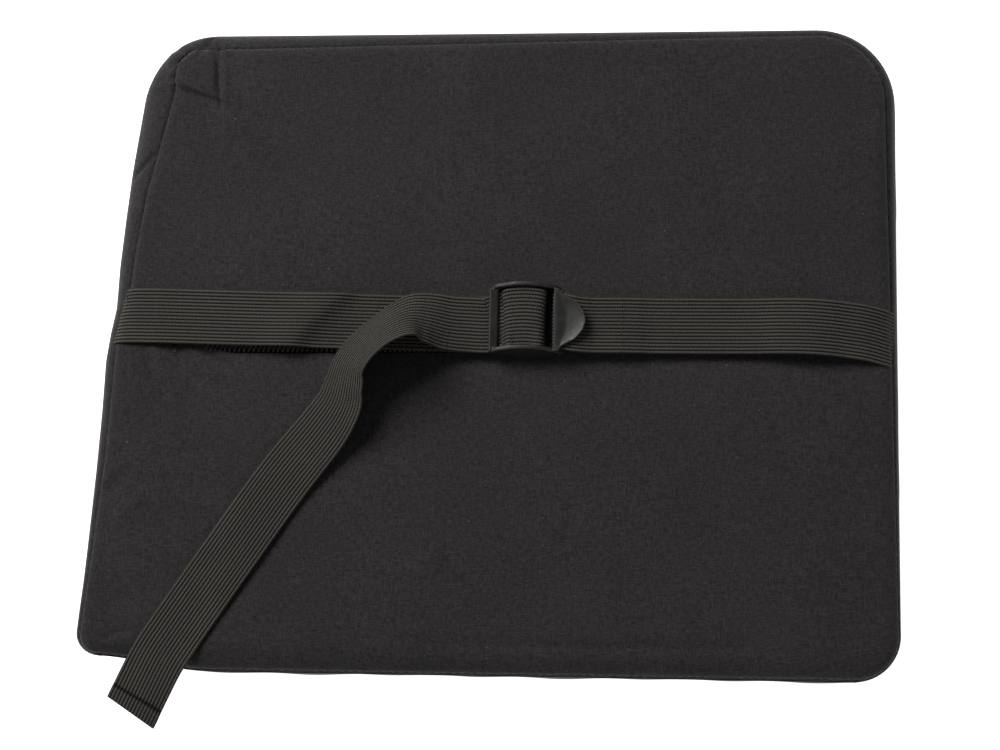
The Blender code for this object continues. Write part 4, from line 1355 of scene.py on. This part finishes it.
class CUSHION_OT_strap(bpy.types.Operator):
    """Make the elastic strap: its fixed right part, its left part, the loop in the buckle and the tail"""

    bl_idname = "cushion.strap"
    bl_label = "Elastic strap"

    def execute(self, context):
        strap = context.scene.strap_sizes
        outline = Outline(context.scene.cushion_sizes)
        self.fixed_part(strap, outline)
        self.adjustable_part(strap, outline)
        self.sewing(strap, outline)
        return {"FINISHED"}

    def fixed_part(self, strap, outline):
        low, high = strap_levels(strap)
        bars = buckle_bars(strap)
        rear_left, rear_right, _, rear_top = bars["rear"]
        over = rear_top + strap.thickness / 2 + BAR_CLEAR
        end = right_end(outline) + 0.0004
        pairs = [(end, -0.0036), (end - 0.0028, -0.0011), (end - 0.0075, 0.0010), (end - 0.013, low)]
        slider_x = (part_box("zip_slider")[0][0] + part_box("zip_slider")[1][0]) / 2 - HOME_X
        rises = ((-0.004, 0.35), (-0.010, 0.72), (-0.019, 1.0), (-0.032, 0.7), (-0.046, 0.1))
        pairs += [(slider_x + offset, low + 0.0036 * share) for offset, share in rises]
        pairs += [(SEWN_END + 0.013, low), (SEWN_END + 0.003, (low + high) / 2 + 0.0003),
                  (SEWN_END - 0.003, high)]
        first = even_run(in_frame(outline, pairs), 0.0013)
        run = ribbed_ribbon("strap_fixed_run", first, strap, slant=-0.03)
        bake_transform(run)
        pairs = [(SEWN_END - 0.003, high), (rear_right + 0.012, high),
                 (rear_right + 0.007, (high + over) / 2), (rear_right + 0.002, over)]
        pairs += turn_stations(strap, rear_left, -1, low, over)
        pairs += [(rear_right + 0.012, low), (SEWN_END, low)]
        loop = ribbed_ribbon("strap_fixed_loop", even_run(in_frame(outline, pairs), 0.0009), strap)
        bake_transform(loop)
        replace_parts(run, "strap_fixed")
        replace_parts(loop, "strap_fixed")

    def adjustable_part(self, strap, outline):
        low, high = strap_levels(strap)
        bars = buckle_bars(strap)
        centre_left, centre_right, _, centre_top = bars["centre"]
        front_right = bars["front"][1]
        over = centre_top + strap.thickness / 2 + BAR_CLEAR
        end = left_end(outline) - 0.0002
        slot = (front_right + centre_left) / 2
        pairs = [(end, -0.0024), (end + 0.0022, -0.0003), (end + 0.0065, 0.0013), (end + 0.0150, 0.0022),
                 (end + 0.0280, low), (-0.060, low), (SPLIT_LEFT, low)]
        left = ribbed_ribbon("strap_left_run", even_run(in_frame(outline, pairs), 0.0013), strap,
                             lifts=ridge_lift, slant=0.22)
        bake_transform(left)
        pairs = [(SPLIT_LEFT, low), (-0.010, low), (slot, low)]
        pairs += turn_stations(strap, centre_right, 1, low, over)[::-1]
        pairs += [(centre_left + 0.0020, over), (centre_left - 0.0014, over - 0.0002),
                  (slot - 0.0006, (over + high) / 2 + 0.0004), (slot - 0.0014, high + 0.0004),
                  (front_right - 0.0014, high)]
        threaded = [(*p, 0.0) for p in in_frame(outline, pairs)]
        tail = [(x, y, BACK + z, math.radians(roll)) for x, y, z, roll in TAIL_ROUTE]
        run, travelled = even_run(threaded + tail, 0.0011)
        middle = (run[:, 0] < SPLIT_LEFT) & (travelled > 0.020)
        split = int(np.argmax(middle))
        along = np.gradient(run[:, :3], axis=0)
        outwards = np.stack([along[:, 1], -along[:, 0], np.zeros(len(run))], axis=1)
        outwards = unit(outwards)
        free = smooth(travelled, travelled[split] - 0.022, travelled[split] - 0.006)[:, None]
        outwards = outwards * free + np.array([0.0, 1.0, 0.0]) * (1 - free)
        over_bar = smooth(run[:, 2] - BACK, high + 0.0004, over) * (run[:, 0] > front_right)
        arch = over_bar * np.clip(1 - ((run[:, 0] - 0.0118) / 0.0105) ** 2, 0.0, 1.0)
        run[:, 1] += 0.0013 * arch
        run[:, 2] += 0.0006 * arch
        spread = 1 + 0.045 * over_bar
        roll = run[:, 3:4]
        acrosses = unit(outwards * np.cos(roll) - np.array([0.0, 0.0, 1.0]) * np.sin(roll))
        whole = (run, travelled)
        loop = ribbed_ribbon("strap_buckle_loop", cut_run(whole, 0, split + 1), strap, acrosses[:split + 1],
                             spread=spread[:split + 1])
        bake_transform(loop)
        tail_run = ribbed_ribbon("strap_tail", cut_run(whole, split, len(run)), strap, acrosses[split:],
                                 folded=HEM)
        self.tail_blend(tail_run)
        for piece in (left, loop, tail_run):
            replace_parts(piece, "strap_adjustable")
        self.tail_end = run[:, :3], acrosses, travelled

    def tail_blend(self, piece):
        """Bakes the piece's placement into its own mesh."""
        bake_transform(piece)

    def sewing(self, strap, outline):
        high = strap_levels(strap)[1]
        half = strap.width / 2 - 0.0012
        rise = strap.thickness / 2 - 0.00005

        def row(name, x, z, node, body="cushion"):
            y = strap_y(outline, x)
            run = [(x, y - half, z), (x, y + half, z)]
            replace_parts(stitches(name, run, body=body, **STRAP_STITCH), node)

        row("sewn_end_stitches", SEWN_END - 0.004, BACK + high + rise, "strap_fixed_stitching", "strap")
        left = left_end(outline) + 0.0024
        row("strap_tack_left_stitches", left, BACK - 0.0010 + rise + 0.0002, "strap_tack_left")
        right = right_end(outline) - 0.0024
        row("strap_tack_right_stitches", right, BACK - 0.0016 + rise + 0.0002, "strap_tack_right")
        points, acrosses, travelled = self.tail_end
        at = int(np.argmax(travelled > travelled[-1] - HEM_SEWN))
        across = acrosses[at]
        normal = unit(np.cross(points[at + 1] - points[at - 1], across))
        seat = points[at] + normal * (strap.thickness * 0.92)
        run = [seat - across * half, seat + across * half]
        made = stitches("hem_stitches", run, body=None, **STRAP_STITCH)
        self.tail_blend(made)
        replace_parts(made, "hem_stitching")


# The buckle

MOULD_GRAIN = 0.00032        # voxels of the moulded body
RAIL_BOW = 0.0016            # the rails bow outwards this far at their middle
RAIL_MIDDLE = BUCKLE_LEFT + 0.0150
FRONT_FALL = 0.0013          # the front bar's top slopes down this far, to the right
TAB_DISH = 0.0011
TAB_TIPPED = 0.0006          # the tab's tip stands up this far


def prism(points, y_low, y_high):
    """A closed body: an outline in x and height above the back, carried from one y to the other."""
    return [(x, y, BACK + z) for y in (y_low, y_high) for x, z in points], band_faces(2, len(points))


def bar_outline(left, right, low, high, radius=0.0008):
    """A bar's section with round corners."""
    found = []
    for x, z, first in ((right - radius, high - radius, 0), (left + radius, high - radius, 1),
                        (left + radius, low + radius, 2), (right - radius, low + radius, 3)):
        for k in range(4):
            angle = math.pi / 2 * (first + k / 3)
            found.append((x + radius * math.cos(angle), z + radius * math.sin(angle)))
    return found


class CUSHION_OT_buckle(bpy.types.Operator):
    """Make the moulded ladder buckle with its thumb tab"""

    bl_idname = "cushion.buckle"
    bl_label = "Buckle"

    def execute(self, context):
        strap = context.scene.strap_sizes
        bars = buckle_bars(strap)
        inner = strap.width / 2 + 0.0007
        left = BUCKLE_LEFT
        rail_end = bars["rear"][0] + 0.0010
        bodies = [self.rail(bars, strap, inner, rail_end, side) for side in (-1, 1)]
        reach = inner + 0.0010
        for label, (low_x, high_x, low_z, high_z) in bars.items():
            if label == "front":
                low_x, high_x = left - 0.0006, left + 0.0036
            middle = STRAP_MIDDLE + float(buckle_lift((low_x + high_x) / 2))
            spans = [(low_x, high_x, reach)]
            if label == "rear":
                spans = [(low_x, high_x, inner - 0.0022), (low_x, low_x + 0.0022, reach)]
            for start_x, end_x, half in spans:
                shape = bar_outline(start_x, end_x, low_z, high_z)
                if label == "front":
                    fall = FRONT_FALL / (end_x - start_x)
                    shape = [(x, z - fall * (x - start_x) * (z > low_z + 0.0010)) for x, z in shape]
                bodies.append(prism(shape, middle - half, middle + half))
        bodies.append(self.tab(bars, strap, inner))
        points, faces = [], []
        for body_points, body_faces in bodies:
            start = len(points)
            points += list(body_points)
            faces += [tuple(start + k for k in face) for face in body_faces]
        piece = new_piece("ladder_buckle", points, faces, "buckle_plastic")
        outward(piece)
        remesh = piece.modifiers.new("moulded", "REMESH")
        remesh.mode = "VOXEL"
        remesh.voxel_size = MOULD_GRAIN
        remesh.use_smooth_shade = True
        soften = piece.modifiers.new("soft_edges", "SMOOTH")
        soften.factor = 0.5
        soften.iterations = 5
        settle_modifiers(piece)
        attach(piece, "buckle")
        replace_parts(piece, "buckle")
        return {"FINISHED"}

    def rail(self, bars, strap, inner, rail_end, side):
        """One arched side of the frame: a narrow land on top, and a wall that leans outwards to its foot."""
        left = BUCKLE_LEFT
        crown = bars["centre"][3] + strap.thickness + 0.0026
        profile = catmull([
            (left, 0.0058, 0.0012), (left + 0.0020, 0.0078, 0.0018), (left + 0.0060, crown - 0.0012, 0.0026),
            (left + 0.0110, crown - 0.0002, 0.0034), (left + 0.0160, crown, 0.0036),
            (left + 0.0215, crown - 0.0006, 0.0032), (rail_end - 0.0040, crown - 0.0024, 0.0022),
            (rail_end - 0.0010, crown - 0.0044, 0.0012), (rail_end, crown - 0.0056, 0.0008),
        ], 3)
        points = []
        for x, top, foot in profile:
            bow = RAIL_BOW * (1 - ((x - RAIL_MIDDLE) / 0.0175) ** 2)
            low = 0.0009 + 0.0016 * smooth(abs(x - RAIL_MIDDLE), 0.0120, 0.0165)
            middle = STRAP_MIDDLE + float(buckle_lift(x))
            for reach, z in ((inner, low), (inner, top), (inner + 0.0019, top), (inner + foot + 0.0003, low)):
                points.append((x, middle + side * reach + bow * smooth(z, 0.002, crown), BACK + z))
        return points, band_faces(len(profile), 4)

    def tab(self, bars, strap, inner):
        """The D-shaped thumb tab, dished on top."""
        rear_top = bars["rear"][3]
        low = rear_top + strap.thickness + 0.0008
        thick = 0.0017
        start = bars["rear"][0] - 0.0021
        tip = BUCKLE_LEFT + 0.0424
        half = [(0.0, inner + 0.0012), (0.0022, inner + 0.0008), (0.0036, 0.0118), (0.0060, 0.0105),
                (0.0094, 0.0086), (0.0120, 0.0058), (tip - start - 0.0004, 0.0024)]
        middle = STRAP_MIDDLE + float(buckle_lift(start + 0.0030))
        upper = [(start + x, y) for x, y in half]
        outline = catmull(upper + [(tip, 0.0)] + [(x, -y) for x, y in reversed(upper)], 5)
        centre = np.array([start + 0.0070, 0.0])
        points = []
        # The underside first, then rings on top that close in on the middle.
        rings = ((1.0, 0.0), (1.0, thick), (0.94, thick), (0.85, thick), (0.7, thick), (0.5, thick),
                 (0.25, thick))
        for share, above in rings:
            xy = centre + (outline - centre) * share
            z = BACK + low + above + TAB_TIPPED * smooth(xy[:, 0], start + 0.002, tip)
            z -= TAB_DISH * (1 - share**3) * smooth(xy[:, 0], start, start + 0.006)
            points += with_height(xy + (0.0, middle), z).tolist()
        return points, band_faces(len(rings), len(outline))


# The stage

KEY_LIGHT = ((-1.00, 1.08, 1.42), 1.0, 36.5)      # place, size, power
RIM_LIGHT = ((1.20, -0.90, 0.95), 0.5, 3.0)
CAMERA_PLACE = (0.09796, -0.17556, 1.02796)       # from the cushion's middle and its back
CAMERA_TURN = (9.0, 5.2, 1.12)                    # degrees
CAMERA_LENS = 85.0                                # millimetres
FLOOR_BELOW = 0.0005


class CUSHION_OT_stage(bpy.types.Operator):
    """Set the pale floor, the studio lights and the camera"""

    bl_idname = "cushion.stage"
    bl_label = "Stage"

    def execute(self, context):
        scene = context.scene
        scene.view_settings.view_transform = "Standard"
        self.floor(scene)
        self.world(scene)
        self.lamp(scene, "key_light", *KEY_LIGHT)
        self.lamp(scene, "rim_light", *RIM_LIGHT)
        self.camera(scene)
        return {"FINISHED"}

    def floor(self, scene):
        mesh = bpy.data.meshes.new("floor")
        work = bmesh.new()
        bmesh.ops.create_grid(work, x_segments=1, y_segments=1, size=4.0)
        work.to_mesh(mesh)
        work.free()
        floor = bpy.data.objects.new("floor", mesh)
        floor.location = (0, 0, CAD_BOX[0][2] - FLOOR_BELOW)
        scene.collection.objects.link(floor)
        paper = bpy.data.materials.new("pale_floor")
        paper.use_nodes = True
        shader = paper.node_tree.nodes["Principled BSDF"]
        shader.inputs["Base Color"].default_value = (0.93, 0.93, 0.93, 1)
        shader.inputs["Roughness"].default_value = 0.9
        shader.inputs["Emission Color"].default_value = (1, 1, 1, 1)
        shader.inputs["Emission Strength"].default_value = 1.0
        mesh.materials.append(paper)

    def world(self, scene):
        world = bpy.data.worlds.new("studio")
        world.use_nodes = True
        world.node_tree.nodes["Background"].inputs["Color"].default_value = (1, 1, 1, 1)
        world.node_tree.nodes["Background"].inputs["Strength"].default_value = 0.10
        scene.world = world

    def lamp(self, scene, name, place, size, power):
        light = bpy.data.lights.new(name, "AREA")
        light.size = size
        light.energy = power
        lamp = bpy.data.objects.new(name, light)
        lamp.location = place
        lamp.rotation_euler = (Vector((0, 0, BACK)) - Vector(place)).to_track_quat("-Z", "Y").to_euler()
        scene.collection.objects.link(lamp)

    def camera(self, scene):
        lens = bpy.data.cameras.new("camera")
        lens.lens = CAMERA_LENS
        lens.sensor_width = 36.0
        camera = bpy.data.objects.new("camera", lens)
        camera.location = Vector((HOME_X, HOME_Y, BACK)) + Vector(CAMERA_PLACE)
        camera.rotation_euler = [math.radians(turn) for turn in CAMERA_TURN]
        scene.collection.objects.link(camera)
        scene.camera = camera


class CUSHION_PT_panel(bpy.types.Panel):
    """The cushion's sizes, colours and pieces"""

    bl_idname = "CUSHION_PT_panel"
    bl_label = "Lumbar cushion"
    bl_space_type = "VIEW_3D"
    bl_region_type = "UI"
    bl_category = "Cushion"

    def draw(self, context):
        for group in (context.scene.cushion_sizes, context.scene.strap_sizes, context.scene.cushion_colours):
            column = self.layout.column()
            for key in group.__annotations__:
                column.prop(group, key)
        for piece in OPERATORS:
            self.layout.operator(piece.bl_idname)


OPERATORS = (CUSHION_OT_stage, CUSHION_OT_back, CUSHION_OT_boxing, CUSHION_OT_front, CUSHION_OT_foam,
             CUSHION_OT_seams, CUSHION_OT_zip, CUSHION_OT_strap, CUSHION_OT_buckle)
GROUPS = {"cushion_sizes": CushionSizes, "strap_sizes": StrapSizes, "cushion_colours": CushionColours}


def register():
    for group in GROUPS.values():
        bpy.utils.register_class(group)
    for key, group in GROUPS.items():
        setattr(bpy.types.Scene, key, PointerProperty(type=group))
    for piece in OPERATORS + (CUSHION_PT_panel,):
        bpy.utils.register_class(piece)


def unregister():
    for piece in reversed(OPERATORS + (CUSHION_PT_panel,)):
        bpy.utils.unregister_class(piece)
    for key, group in GROUPS.items():
        delattr(bpy.types.Scene, key)
        bpy.utils.unregister_class(group)


def main():
    register()
    bpy.ops.cushion.stage()
    bpy.ops.cushion.back()
    bpy.ops.cushion.boxing()
    bpy.ops.cushion.front()
    bpy.ops.cushion.foam()
    bpy.ops.cushion.seams()
    bpy.ops.cushion.zip()
    bpy.ops.cushion.strap()
    bpy.ops.cushion.buckle()


if __name__ == "__main__":
    main()
